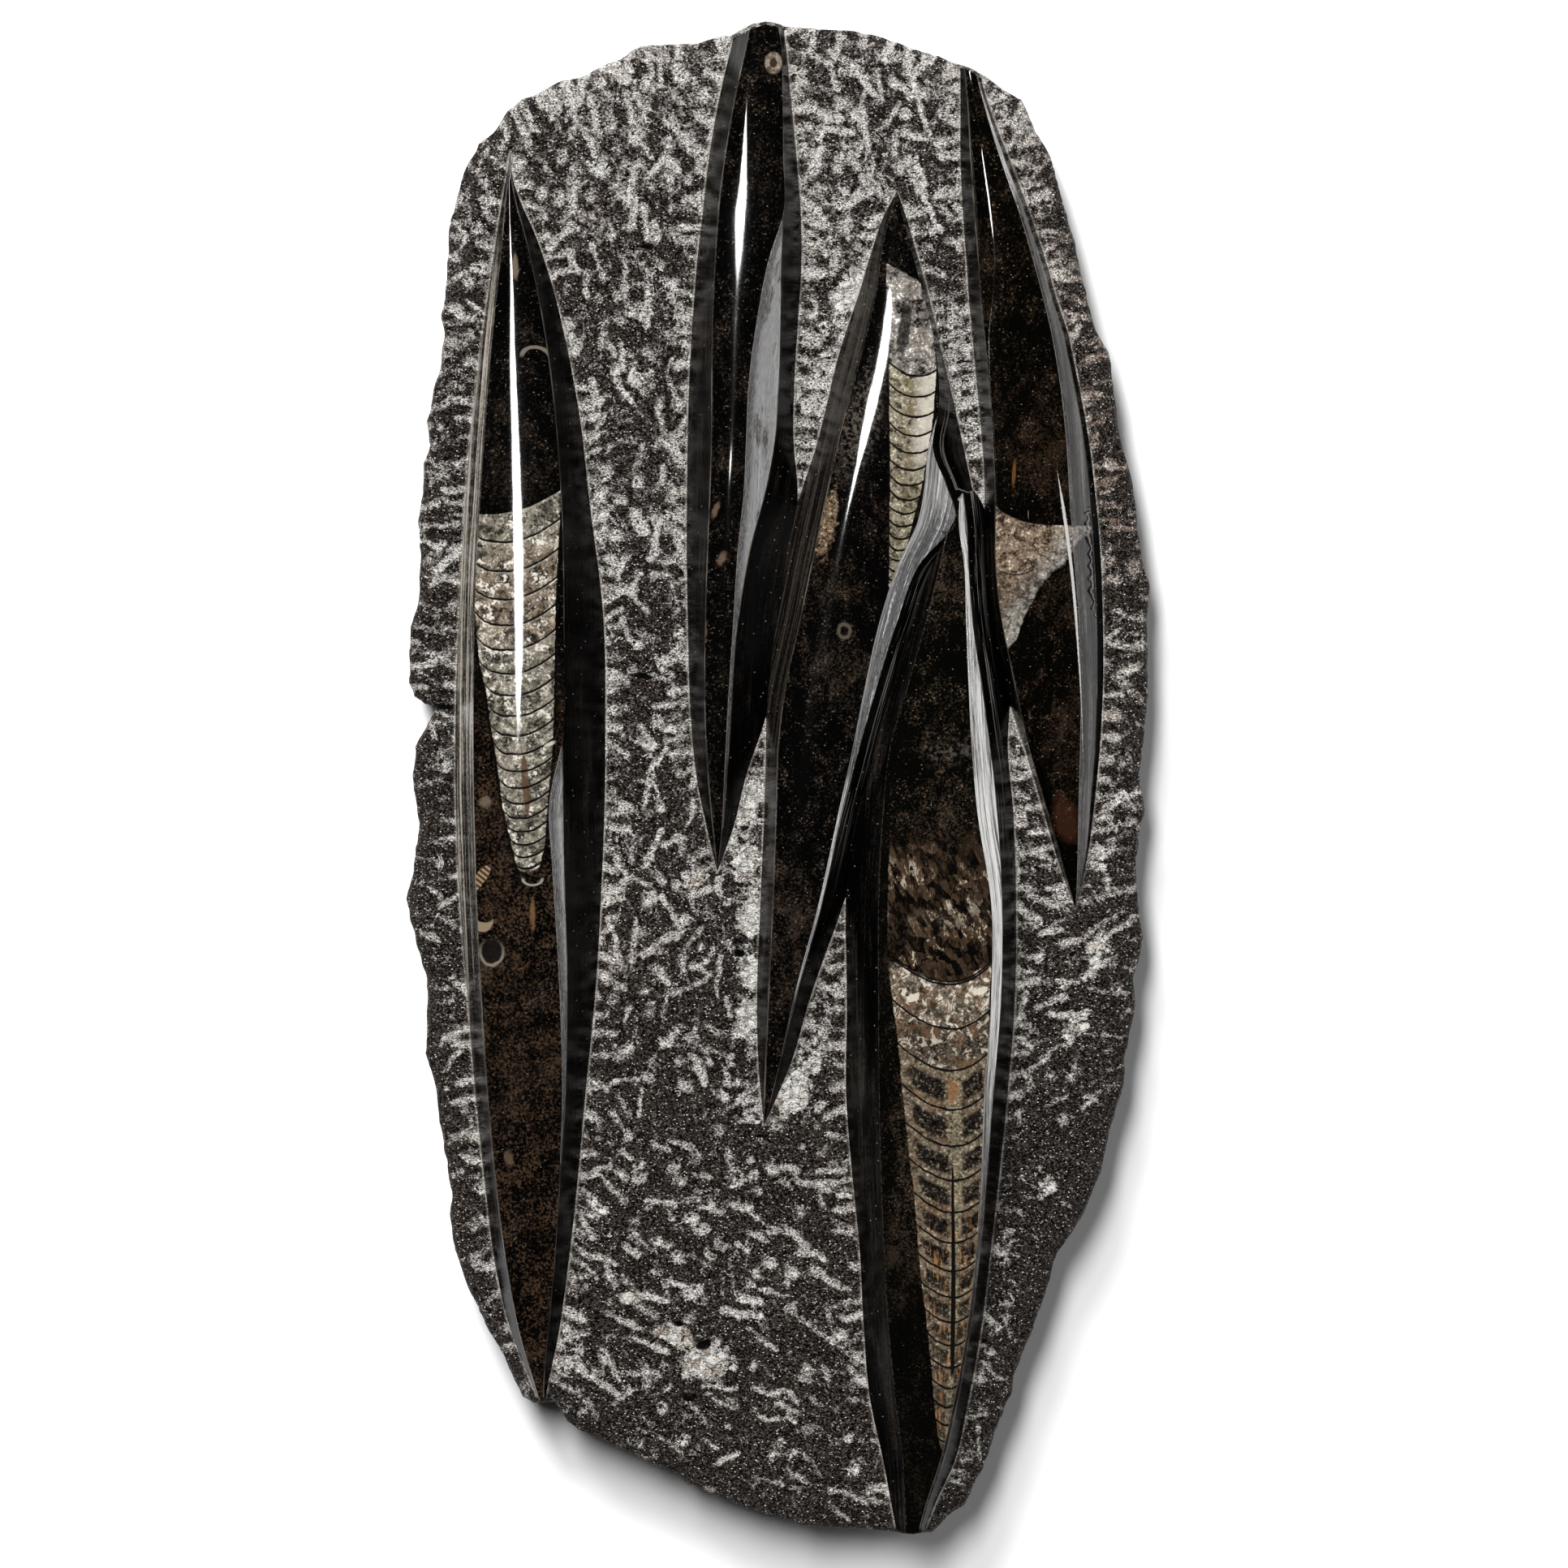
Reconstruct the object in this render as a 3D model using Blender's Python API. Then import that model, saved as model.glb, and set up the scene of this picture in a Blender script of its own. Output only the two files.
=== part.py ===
"""An orthoceras plate: a slab of black fossil limestone that lies on its sawn back.

Five long shells stand up from it as polished ridges, and the ground between them is chiselled.
It is one stone, so it is one closed mesh. The frame is in metres, +Z up, with the origin under the
middle of the plate's bounding box, on the surface that it rests on. +Y runs towards the narrow end.
"""

import math

import bmesh
import bpy
import numpy as np
from mathutils import Vector
from mathutils.geometry import delaunay_2d_cdt

# Driving dimensions, in metres.
LENGTH = 0.500
GROUND_LEVEL = 0.031  # the chiselled ground, above the sawn back
GROUND_RISE = 0.008  # how much thicker the slab is at its -Y end than at its +Y end

MM = LENGTH / 500  # one design millimetre: the tables below are for a plate 500 mm long

# The broken edge of the slab seen from above, anticlockwise from the top ridge's end.
OUTLINE = [
    (-4, 250), (-9, 249), (-14, 246.5), (-22, 245), (-27, 243.6), (-36, 243.1), (-45.5, 242.3),
    (-50, 240), (-55, 237), (-64.5, 233), (-72, 231.2), (-80, 226.8), (-85, 225), (-90, 221),
    (-95, 213.5), (-99.7, 210.2), (-103, 204), (-105.2, 199.5), (-106, 194.5), (-108.7, 184.5),
    (-110, 170), (-110.7, 158.5), (-111.7, 153), (-110.8, 146), (-112.3, 135), (-115, 125.5),
    (-116.3, 118), (-115.6, 110), (-117.4, 104), (-118, 93), (-119.3, 84.5), (-118.8, 75.5),
    (-119.6, 59.5), (-122, 50.5), (-122.6, 42), (-122, 36), (-122.4, 31.5), (-120.6, 26.5),
    (-117, 24), (-113.8, 23.2), (-115.4, 19.5), (-118, 14), (-120.5, 10.5), (-121.2, 0),
    (-120.4, -8), (-119.2, -15), (-120.8, -27), (-121.6, -33), (-123.4, -40), (-121.8, -46),
    (-120, -55), (-116.9, -65), (-116.3, -80), (-116.8, -91), (-113.6, -102), (-112, -115),
    (-109.4, -131), (-108.3, -138), (-109, -144), (-107.3, -156), (-103.4, -167), (-99.5, -175),
    (-96, -183), (-91.5, -190.5), (-87.5, -199), (-84.5, -204.7), (-81, -207), (-74, -206.4),
    (-70, -212.5), (-66, -216.2), (-58, -219.4), (-48, -224), (-38, -228.4), (-33, -230.8),
    (-30, -234), (-21, -237), (-11, -242), (0, -244.6), (8, -247), (28, -248), (37, -249.2),
    (44, -250), (51, -249), (55, -245.2), (62, -240), (65, -234), (68, -229), (72.5, -216),
    (77.5, -204), (79.5, -195), (81.5, -189), (84.4, -183), (88, -173), (92, -160), (98, -149),
    (102, -144), (107, -130), (110.5, -115), (113.8, -104.5), (115.5, -92), (118.4, -77),
    (118.5, -66), (121, -53), (119.8, -41), (119, -32), (119.4, -20), (121.8, -11),
    (120.3, -2), (121.5, 13), (123.4, 27), (122.6, 35), (122.5, 48), (123.4, 63), (121.6, 71),
    (119.5, 85), (117.3, 98), (114.4, 111), (112, 123), (110.9, 134), (109.6, 141), (105, 150),
    (102.6, 160.5), (99.5, 172.5), (94.9, 190), (91.5, 203.5), (89.8, 207.3), (86, 213.5),
    (83, 220), (80.7, 224.7), (74, 228.3), (69.6, 232.4), (60, 236.6), (50.5, 240), (44.7, 241.5),
    (40, 244), (32.5, 246), (25, 247.3), (10, 248.2), (1, 249),
]  # fmt: skip

# Each ridge from its +Y end to its -Y end. A row is a section across it: y, then x of its left
# border, left shoulder, crest, facet's start, facet's end and right border, then the heights of
# the crest and of the left shoulder above the ground. Where two ridges meet, their borders lie
# inside each other, and the valley between them is where their flanks cross.
RIDGES = {
    "left": [
        (207, -88.3, -88.3, -88.3, -88.3, -88.3, -88.3, 0, 0),
        (198, -89.6, -89.0, -88.6, -88.1, -88.0, -87.5, 1.2, 0.9),
        (190, -91.0, -89.7, -88.4, -86.6, -86.5, -84.9, 3.0, 2.4),
        (180, -92.6, -90.5, -88.0, -83.8, -83.7, -80.4, 5.4, 4.4),
        (165, -94.8, -92.0, -87.2, -80.3, -80.2, -75.2, 8.4, 6.8),
        (145, -97.6, -94.0, -86.4, -76.6, -76.5, -70.2, 11.8, 9.6),
        (120, -100.7, -96.0, -85.2, -73.4, -73.3, -65.5, 15.2, 12.2),
        (90, -103.2, -98.0, -83.6, -71.2, -71.1, -62.0, 18.2, 14.4),
        (55, -105.1, -99.6, -82.6, -70.4, -70.3, -57.7, 20.6, 16.2),
        (12, -106.4, -100.0, -82.8, -70.9, -70.8, -56.9, 21.9, 17.4),
        (-8, -106.2, -99.8, -83.0, -75.0, -70.6, -57.1, 21.9, 17.4),
        (-30, -105.4, -99.2, -83.0, -74.0, -70.2, -57.9, 21.5, 17.0),
        (-70, -102.5, -97.4, -82.6, -71.7, -69.2, -60.1, 19.4, 15.3),
        (-105, -99.6, -95.2, -82.0, -70.9, -69.9, -63.5, 16.2, 12.9),
        (-135, -96.4, -92.4, -81.6, -72.0, -71.8, -66.2, 12.7, 10.1),
        (-160, -93.2, -89.2, -80.6, -73.6, -73.5, -69.0, 9.3, 7.4),
        (-185, -87.0, -84.4, -79.4, -76.0, -75.9, -72.6, 5.4, 4.2),
        (-200, -80.9, -80.0, -78.5, -77.3, -77.2, -75.8, 2.5, 1.9),
        (-209, -77.5, -77.5, -77.5, -77.5, -77.5, -77.5, 0, 0),
    ],
    "upper": [
        (254, -12.0, -8.0, -6.4, -0.8, -0.7, 0.9, 3.4, 2.9),
        (240, -15.7, -10.6, -8.2, 1.1, 1.2, 2.8, 7.0, 6.0),
        (225, -19.2, -13.8, -9.6, 1.5, 1.6, 4.2, 11.2, 9.6),
        (205, -22.7, -17.2, -9.8, 1.7, 1.8, 6.1, 15.4, 13.4),
        (185, -25.0, -19.5, -8.8, 1.6, 1.7, 7.6, 16.9, 15.4),
        (172, -26.5, -20.4, -9.2, -2.6, 1.1, 7.8, 17.0, 15.4),
        (150, -28.2, -21.4, -12.0, -7.0, 0.8, 6.6, 16.5, 14.4),
        (130, -29.3, -21.6, -13.2, -9.6, 0.2, 5.4, 16.0, 13.6),
        (110, -29.8, -21.8, -14.2, -10.5, -1.2, 5.2, 15.5, 13.1),
        (95, -30.0, -22.2, -15.0, -11.2, -4.0, 6.5, 15.4, 13.1),
        (75, -30.1, -23.0, -16.0, -13.2, -9.3, 5.2, 14.7, 12.5),
        (50, -29.7, -23.8, -17.0, -14.8, -13.4, 2.2, 13.2, 11.2),
        (18, -28.6, -23.8, -18.4, -16.8, -15.8, -4.6, 11.0, 9.3),
        (0, -26.8, -22.8, -18.9, -17.7, -17.0, -10.7, 8.2, 6.9),
        (-15, -23.8, -21.4, -19.3, -18.4, -18.0, -14.3, 5.0, 4.2),
        (-31, -20.0, -20.0, -20.0, -20.0, -20.0, -20.0, 0, 0),
    ],
    "leaning": [
        (193.5, 39.3, 39.3, 39.3, 39.3, 39.3, 39.3, 0, 0),
        (186, 35.2, 37.0, 39.2, 40.9, 41.0, 42.0, 2.2, 1.9),
        (175, 31.3, 34.4, 39.0, 43.7, 43.8, 45.3, 5.5, 4.8),
        (160, 26.8, 32.2, 38.9, 47.6, 47.7, 49.5, 9.7, 8.7),
        (140, 20.2, 27.6, 37.3, 52.0, 52.1, 54.2, 13.6, 11.9),
        (122, 15.8, 22.8, 33.4, 52.8, 53.0, 58.4, 16.0, 14.0),
        (108, 12.2, 19.4, 29.8, 49.4, 51.0, 61.4, 16.9, 14.5),
        (96, 8.2, 16.8, 26.6, 48.2, 55.4, 63.9, 16.9, 14.2),
        (85, 4.6, 14.4, 24.0, 46.2, 58.2, 65.6, 16.7, 13.9),
        (70, 0.8, 11.2, 21.2, 39.4, 46.4, 57.2, 16.3, 13.5),
        (52, -2.0, 7.4, 18.4, 33.6, 39.4, 50.0, 15.6, 12.9),
        (29, -3.7, 2.4, 14.8, 28.4, 32.2, 42.0, 14.7, 12.1),
        (10, -4.0, 0.2, 12.2, 24.6, 26.8, 36.5, 13.9, 11.4),
        (-10, -4.5, -0.4, 9.4, 20.2, 21.6, 31.5, 12.8, 10.5),
        (-42, -5.8, -1.6, 5.2, 13.2, 14.2, 21.4, 10.8, 8.9),
        (-72, -6.9, -2.9, 1.8, 5.3, 5.9, 10.8, 8.7, 7.1),
        (-95, -6.4, -3.9, -1.6, 0.2, 0.5, 3.9, 4.8, 4.0),
        (-114.5, -4.6, -4.6, -4.6, -4.6, -4.6, -4.6, 0, 0),
    ],
    "lower": [
        (100, 60.0, 60.0, 60.0, 60.0, 60.0, 60.0, 0, 0),
        (92, 56.5, 58.2, 59.4, 59.8, 61.0, 66.6, 6.5, 5.5),
        (84, 52.0, 56.6, 59.2, 59.5, 61.9, 69.4, 10.5, 8.8),
        (70, 45.0, 53.2, 60.9, 61.2, 62.6, 71.8, 13.6, 9.8),
        (52, 41.6, 48.8, 61.4, 61.8, 63.8, 74.6, 16.1, 11.0),
        (30, 34.0, 42.5, 62.0, 62.6, 66.9, 76.6, 18.0, 11.2),
        (10, 27.0, 36.8, 63.0, 63.6, 69.6, 75.8, 19.5, 11.4),
        (-10, 23.2, 34.6, 64.6, 65.3, 71.8, 77.5, 20.7, 11.8),
        (-42, 22.3, 33.0, 69.2, 70.0, 73.5, 78.5, 21.6, 13.6),
        (-75, 22.7, 33.0, 69.0, 69.8, 73.0, 78.0, 21.5, 13.6),
        (-105, 22.5, 33.2, 66.9, 67.6, 70.5, 75.6, 20.4, 13.0),
        (-130, 24.4, 33.8, 66.1, 66.7, 68.6, 73.1, 18.7, 12.0),
        (-155, 26.9, 34.8, 64.5, 65.1, 66.4, 70.2, 16.6, 10.8),
        (-180, 28.2, 36.2, 61.6, 62.2, 63.3, 67.2, 14.0, 9.2),
        (-205, 30.4, 38.6, 57.2, 57.8, 58.8, 62.8, 10.5, 7.2),
        (-225, 34.7, 41.0, 52.6, 53.2, 54.2, 58.2, 7.0, 5.2),
        (-240, 37.5, 41.8, 47.8, 48.3, 49.1, 51.4, 4.5, 3.6),
        (-254, 40.2, 42.2, 44.3, 44.7, 45.2, 46.2, 2.2, 1.8),
    ],
    "right": [
        (242, 60.4, 61.2, 62.2, 63.3, 63.4, 64.2, 0.6, 0.5),
        (232, 60.2, 61.8, 63.6, 65.4, 65.6, 66.6, 2.6, 2.0),
        (220, 60.2, 62.8, 65.7, 68.4, 69.0, 70.2, 6.0, 4.3),
        (205, 60.2, 63.6, 67.6, 72.8, 74.2, 76.0, 10.4, 7.5),
        (185, 61.1, 65.0, 70.4, 79.6, 81.6, 83.6, 13.4, 9.6),
        (170, 62.2, 66.1, 71.8, 84.0, 86.6, 88.5, 13.4, 9.9),
        (158, 63.0, 66.9, 71.2, 87.2, 90.1, 91.9, 12.9, 10.9),
        (147, 64.0, 67.9, 69.8, 89.8, 93.6, 95.5, 12.6, 11.9),
        (135, 65.1, 69.0, 69.7, 92.0, 96.2, 98.1, 12.5, 12.3),
        (110, 67.4, 70.8, 71.4, 94.9, 100.8, 102.7, 12.4, 12.2),
        (93, 68.2, 71.6, 72.2, 95.9, 102.6, 104.7, 12.2, 12.0),
        (75, 67.6, 71.6, 72.4, 97.2, 103.9, 106.3, 11.8, 11.5),
        (55, 68.8, 73.2, 74.6, 98.8, 104.9, 107.1, 11.2, 10.7),
        (35, 73.2, 77.2, 79.6, 99.6, 105.1, 107.3, 10.2, 9.2),
        (12, 80.6, 82.2, 86.4, 99.5, 104.4, 106.3, 8.4, 6.5),
        (-8, 86.6, 87.8, 91.4, 99.0, 103.0, 104.4, 7.3, 4.6),
        (-25, 91.6, 92.6, 95.0, 98.7, 101.4, 102.2, 4.6, 2.6),
        (-38, 96.1, 96.4, 97.2, 98.3, 99.0, 99.3, 2.0, 1.0),
        (-43, 98.0, 98.0, 98.0, 98.0, 98.0, 98.0, 0, 0),
    ],
}
NEIGHBOURS = [("upper", "leaning"), ("leaning", "lower"), ("lower", "right"), ("leaning", "right")]
BORDERS = (1, 6)  # columns of a ridge's table
CREASES = (1, 2, 3, 4, 5, 6)

# A ridge's section. Its crown falls towards the facet, which is flat and leans to +X.
CROWN_FALL = 0.12  # fall from the crest to the facet's start, as a share of the run
FACET_SLOPE = {"left": 0.40, "upper": 0.40, "leaning": 0.40, "lower": 0.40, "right": 1.00}
ROOF = {"lower": 0.92}  # how much a crown's left half is a straight roof, the others being round

# The broken edge. The rings of its side go down from the rim: each one's height as a share of
# the rim's, how far it stands in from the widest line, and how deep its chips are, in design mm.
TOP_INSET = 1.5 * MM
EDGE_FALL = 4.0 * MM  # how far the ground drops towards the edge
EDGE_REACH = 10.0 * MM
SIDE_RINGS = [(0.84, 0.0, 0.0), (0.62, 0.4, 1.2), (0.36, 1.1, 1.6), (0.12, 2.8, 1.8), (0, 4.4, 1.0)]

# Chisel marks in the ground: scoops this far apart and this deep.
SCOOP_PITCH = 10.5 * MM
SCOOP_DEPTH = 1.8 * MM
SCOOP_CLEARANCE = 3.5 * MM  # scoops fade out this near a ridge's border

# Mesh spacing.
OUTLINE_STEP = 6.0 * MM
RIDGE_STEP = 9.0 * MM
GROUND_STEP = 5.0 * MM
NEAREST_POINT = 0.45  # a lattice point is dropped within this share of a step from a line

SEED = 11


def clear_scene():
    for obj in list(bpy.data.objects):
        bpy.data.objects.remove(obj, do_unlink=True)


def curve_through(stations, values, at):
    """Smooth values at the places in at, through values at rising stations (cubic Hermite)."""
    slopes = np.gradient(values, stations)
    at = np.clip(at, stations[0], stations[-1])
    i = np.clip(np.searchsorted(stations, at) - 1, 0, len(stations) - 2)
    span = stations[i + 1] - stations[i]
    t = (at - stations[i]) / span
    rest = 1 - t
    return (
        values[i] * rest * rest * (1 + 2 * t)
        + values[i + 1] * t * t * (1 + 2 * rest)
        + span * t * rest * (slopes[i] * rest - slopes[i + 1] * t)
    )


def ridge_line(name, column, y):
    """A column of a ridge's table at each y, in metres."""
    table = np.array(RIDGES[name][::-1], float) * MM
    return curve_through(table[:, 0], table[:, column], y)


def ridge_height(name, x, y):
    """Height above the ground of one ridge, 0 outside its borders."""
    left, left_shoulder, crest, start, end, right, high, shoulder_high = (
        ridge_line(name, column, y) for column in range(1, 9)
    )
    tiny = 1e-6
    roof = ROOF.get(name, 0.0)
    t = np.clip((crest - x) / np.maximum(crest - left_shoulder, tiny), 0, 1)
    left_crown = high - (high - shoulder_high) * (roof * t + (1 - roof) * t * t)
    left_flank = shoulder_high * (x - left) / np.maximum(left_shoulder - left, tiny)

    run = np.maximum(start - crest, tiny)
    fall = np.minimum(CROWN_FALL * run, 0.3 * high)
    right_crown = high - fall * np.clip((x - crest) / run, 0, 1) ** 2
    slope = FACET_SLOPE[name]
    facet = high - fall - slope * (x - start)
    end_high = np.maximum(high - fall - slope * (end - start), 0.2 * high)
    right_flank = end_high * (right - x) / np.maximum(right - end, tiny)

    section = np.select(
        [x < left_shoulder, x < crest, x < start, x < end],
        [left_flank, left_crown, right_crown, np.maximum(facet, end_high)],
        right_flank,
    )
    rows = RIDGES[name]
    along = (y > rows[-1][0] * MM) & (y < rows[0][0] * MM)
    return np.where((x > left) & (x < right) & along, np.maximum(section, 0), 0.0)


def relief(x, y):
    """Height of the highest ridge above the ground."""
    return np.max([ridge_height(name, x, y) for name in RIDGES], axis=0)


def valley_line(first, second, y):
    """Where two neighbouring ridges cross at each y, and whether they do above the ground."""
    low = ridge_line(first, 3, y)
    high = ridge_line(second, 3, y)

    def lead(x):
        return ridge_height(first, x, y) - ridge_height(second, x, y)

    crossing = (lead(low) > 0) & (lead(high) < 0)
    for _ in range(30):
        middle = (low + high) / 2
        on_first = lead(middle) > 0
        low = np.where(on_first, middle, low)
        high = np.where(on_first, high, middle)
    return low, crossing & (ridge_height(first, low, y) > 0.2 * MM)


def subdivided(points, step):
    """The closed line through points, its pieces cut into equal lengths of about a step."""
    line = []
    for a, b in segments(points, closed=True):
        count = max(1, round(math.dist(a, b) / step))
        line += [a + (b - a) * k / count for k in range(count)]
    return np.array(line)


def outward(loop, reach=2):
    """Unit vectors away from an anticlockwise loop, smoothed over reach neighbours each way."""
    forward = sum(np.roll(loop, -k, 0) - np.roll(loop, k, 0) for k in range(1, reach + 1))
    normal = np.stack([forward[:, 1], -forward[:, 0]], axis=1)
    return normal / np.linalg.norm(normal, axis=1, keepdims=True)


def segments(line, closed=False):
    """The pairs of ends of a line's pieces."""
    ends = np.roll(line, -1, 0) if closed else line[1:]
    return list(zip(line if closed else line[:-1], ends))


def distance_to(pairs, points):
    """Distance of each point to the nearest of the line pieces, given as pairs of ends."""
    nearest = np.full(len(points), 1.0)
    for a, b in pairs:
        d = b - a
        t = np.clip(((points - a) @ d) / (d @ d), 0, 1)
        nearest = np.minimum(nearest, np.hypot(*(points - a - t[:, None] * d).T))
    return nearest


def inside_of(loop, points):
    """Whether each point is inside a closed loop."""
    found = np.zeros(len(points), bool)
    for (ax, ay), (bx, by) in segments(loop, closed=True):
        if ay != by:
            crosses = (ay > points[:, 1]) != (by > points[:, 1])
            found ^= crosses & (points[:, 0] < ax + (points[:, 1] - ay) * (bx - ax) / (by - ay))
    return found


def scoops(rng):
    """Centres, directions and sizes of the chisel's scoops, on a jittered lattice."""
    made = []
    for row, y in enumerate(np.arange(-250 * MM, 250 * MM, SCOOP_PITCH * 0.86)):
        for x in np.arange(-125 * MM, 125 * MM, SCOOP_PITCH) + (row % 2) * SCOOP_PITCH / 2:
            jitter = rng.uniform(-0.32, 0.32, 2) * SCOOP_PITCH
            made.append((x + jitter[0], y + jitter[1], rng.normal(0, 0.6), rng.uniform(0.6, 1.2)))
    return made


def chiselled(points, marks):
    """Depth cut below the ground by the scoops, whose shared borders stay as ridges."""
    depth = np.zeros(len(points))
    for x, y, angle, size in marks:
        dx, dy = points[:, 0] - x, points[:, 1] - y
        along = dx * math.cos(angle) + dy * math.sin(angle)
        across = dy * math.cos(angle) - dx * math.sin(angle)
        reach = SCOOP_PITCH * 0.62 * size
        share = 1 - (along / (1.35 * reach)) ** 2 - (across / reach) ** 2
        depth = np.maximum(depth, SCOOP_DEPTH * size * share)
    return depth


def ground(points, loop, ridges):
    """The smooth ground: thicker towards -Y, gently uneven, falling towards the open edge."""
    x, y = points[:, 0] / MM, points[:, 1] / MM
    level = GROUND_LEVEL - GROUND_RISE * y / 500
    uneven = np.sin(x / 31 + 0.9) * np.cos(y / 43) + 0.6 * np.sin(x / 17 - y / 29)
    edge = np.clip(1 - distance_to(segments(loop, closed=True), points) / EDGE_REACH, 0, 1)
    fall = EDGE_FALL * edge * edge * np.clip(1 - ridges / EDGE_FALL, 0, 1)
    return level + 0.7 * MM * uneven - fall


def runs(line, keep):
    """The unbroken stretches of a line whose points are kept, of two points or more."""
    found = np.flatnonzero(np.diff(np.concatenate([[0], keep, [0]])))
    return [line[a:b] for a, b in zip(found[::2], found[1::2]) if b - a > 1]


def border_lines():
    """Both borders of each ridge."""
    lines = []
    for name, rows in RIDGES.items():
        y = np.linspace(rows[-1][0] * MM, rows[0][0] * MM, 50)
        lines += [np.stack([ridge_line(name, column, y), y], axis=1) for column in BORDERS]
    return lines


def crease_lines(loop):
    """Every edge of the ridges, cut to the loop: creases, crowns' middles and valleys."""
    rim = segments(loop, closed=True)
    lines = []
    for name, rows in RIDGES.items():
        top, bottom = rows[0][0] * MM, rows[-1][0] * MM
        y = np.linspace(bottom, top, round((top - bottom) / RIDGE_STEP) + 1)
        places = [ridge_line(name, column, y) for column in CREASES]
        places.append((places[1] + places[2]) / 2)
        places.append((places[2] + places[3]) / 2)
        for place, x in enumerate(places):
            line = np.stack([x, y], axis=1)
            others = [ridge_height(other, x, y) for other in RIDGES if other != name]
            keep = np.max(others, axis=0) <= ridge_height(name, x, y) + 1e-6
            if place >= len(CREASES):
                keep &= places[3] - places[1] > 8 * MM
            keep &= inside_of(loop, line) & (distance_to(rim, line) > 1.5 * MM)
            lines += runs(line, keep)
    for first, second in NEIGHBOURS:
        y = np.arange(-60 * MM, 110 * MM, RIDGE_STEP / 2)
        x, crossing = valley_line(first, second, y)
        lines += runs(np.stack([x, y], axis=1), crossing)
    return lines


def lattice(loop, lines, rng):
    """Jittered points over the ground inside the loop, clear of the lines."""
    rows = np.arange(-250 * MM, 250 * MM, GROUND_STEP * 0.866)
    columns = np.arange(-125 * MM, 125 * MM, GROUND_STEP)
    points = np.array([(x + (k % 2) * GROUND_STEP / 2, y) for k, y in enumerate(rows) for x in columns])
    points = points + rng.uniform(-0.16, 0.16, points.shape) * GROUND_STEP
    points = points[inside_of(loop, points) & (relief(*points.T) <= 0)]
    pairs = [pair for line in lines for pair in segments(line)]
    clear = distance_to(pairs + segments(loop, closed=True), points)
    return points[clear > NEAREST_POINT * GROUND_STEP]


def triangulated(loop, lines, points):
    """Vertices and triangles inside the loop with the lines as edges, and each vertex's sources."""
    vertices = [Vector(p) for p in loop]
    edges = [(k, (k + 1) % len(loop)) for k in range(len(loop))]
    for line in lines:
        first = len(vertices)
        vertices += [Vector(p) for p in line]
        edges += [(first + k, first + k + 1) for k in range(len(line) - 1)]
    vertices += [Vector(p) for p in points]
    found = delaunay_2d_cdt(vertices, edges, [list(range(len(loop)))], 1, 1e-6)
    return np.array([tuple(v) for v in found[0]]), found[2], found[3]


def top_height(points, loop, rng):
    """Height of the top surface: ground, ridges and scoops."""
    ridges = relief(*points.T)
    borders = [pair for line in border_lines() for pair in segments(line)]
    fade = np.clip(distance_to(borders, points) / SCOOP_CLEARANCE, 0, 1)
    cut = np.where(ridges > 0, 0.0, chiselled(points, scoops(rng)) * fade)
    return ground(points, loop, ridges) + ridges - cut


def add_side(bm, rim_vertices, widest, away, rng):
    """The broken side, from the rim out to the widest line and in to the base, and the back."""
    above = rim_vertices
    for share, inset, chip in SIDE_RINGS:
        ring = []
        for vertex, point, normal in zip(rim_vertices, widest, away):
            x, y = point - normal * (inset + rng.uniform(0, chip)) * MM
            level = share * (1 + rng.uniform(-0.07, 0.07) * (chip > 0) * (share > 0))
            ring.append(bm.verts.new((x, y, vertex.co.z * level)))
        for k in range(len(ring)):
            following = (k + 1) % len(ring)
            bm.faces.new((above[following], above[k], ring[k], ring[following]))
        above = ring
    bm.faces.new(above[::-1])


def build_plate(rng):
    """The whole stone as one closed mesh."""
    widest = subdivided(np.array(OUTLINE, float) * MM, OUTLINE_STEP)
    away = outward(widest)
    rim = widest - away * TOP_INSET
    lines = crease_lines(rim)
    flat, faces, sources = triangulated(rim, lines, lattice(rim, lines, rng))

    bm = bmesh.new()
    top = [bm.verts.new((*p, z)) for p, z in zip(flat, top_height(flat, rim, rng))]
    for face in faces:
        bm.faces.new([top[k] for k in face])
    rim_vertices = [None] * len(rim)
    for vertex, origins in zip(top, sources):
        for origin in origins:
            if origin < len(rim):
                rim_vertices[origin] = vertex
    add_side(bm, rim_vertices, widest, away, rng)
    bmesh.ops.triangulate(bm, faces=bm.faces[:])
    bmesh.ops.recalc_face_normals(bm, faces=bm.faces[:])
    mesh = bpy.data.meshes.new("orthoceras_plate")
    bm.to_mesh(mesh)
    bm.free()
    return mesh


def limestone():
    material = bpy.data.materials.new("limestone")
    material.use_nodes = True
    shader = material.node_tree.nodes["Principled BSDF"]
    shader.inputs["Base Color"].default_value = (0.028, 0.024, 0.021, 1)
    shader.inputs["Roughness"].default_value = 0.55
    shader.inputs["Metallic"].default_value = 0.0
    return material


def main():
    clear_scene()
    plate = bpy.data.objects.new("orthoceras_plate", build_plate(np.random.default_rng(SEED)))
    bpy.context.scene.collection.objects.link(plate)
    plate.data.materials.append(limestone())
    plate.data.shade_smooth()
    plate.data.set_sharp_from_angle(angle=math.radians(28))


main()
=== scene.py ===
"""The looks of the orthoceras plate: one finely carved stone, its floor, its light and camera.

The stone is one closed mesh in place of the CAD solid, with the same section tables, which are in
millimetres. x runs to the right and y up the plate, seen from above, and z is the height.
"""

import math

import bpy
import numpy as np
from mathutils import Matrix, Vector
from mathutils.geometry import delaunay_2d_cdt
from mathutils.kdtree import KDTree


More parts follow.
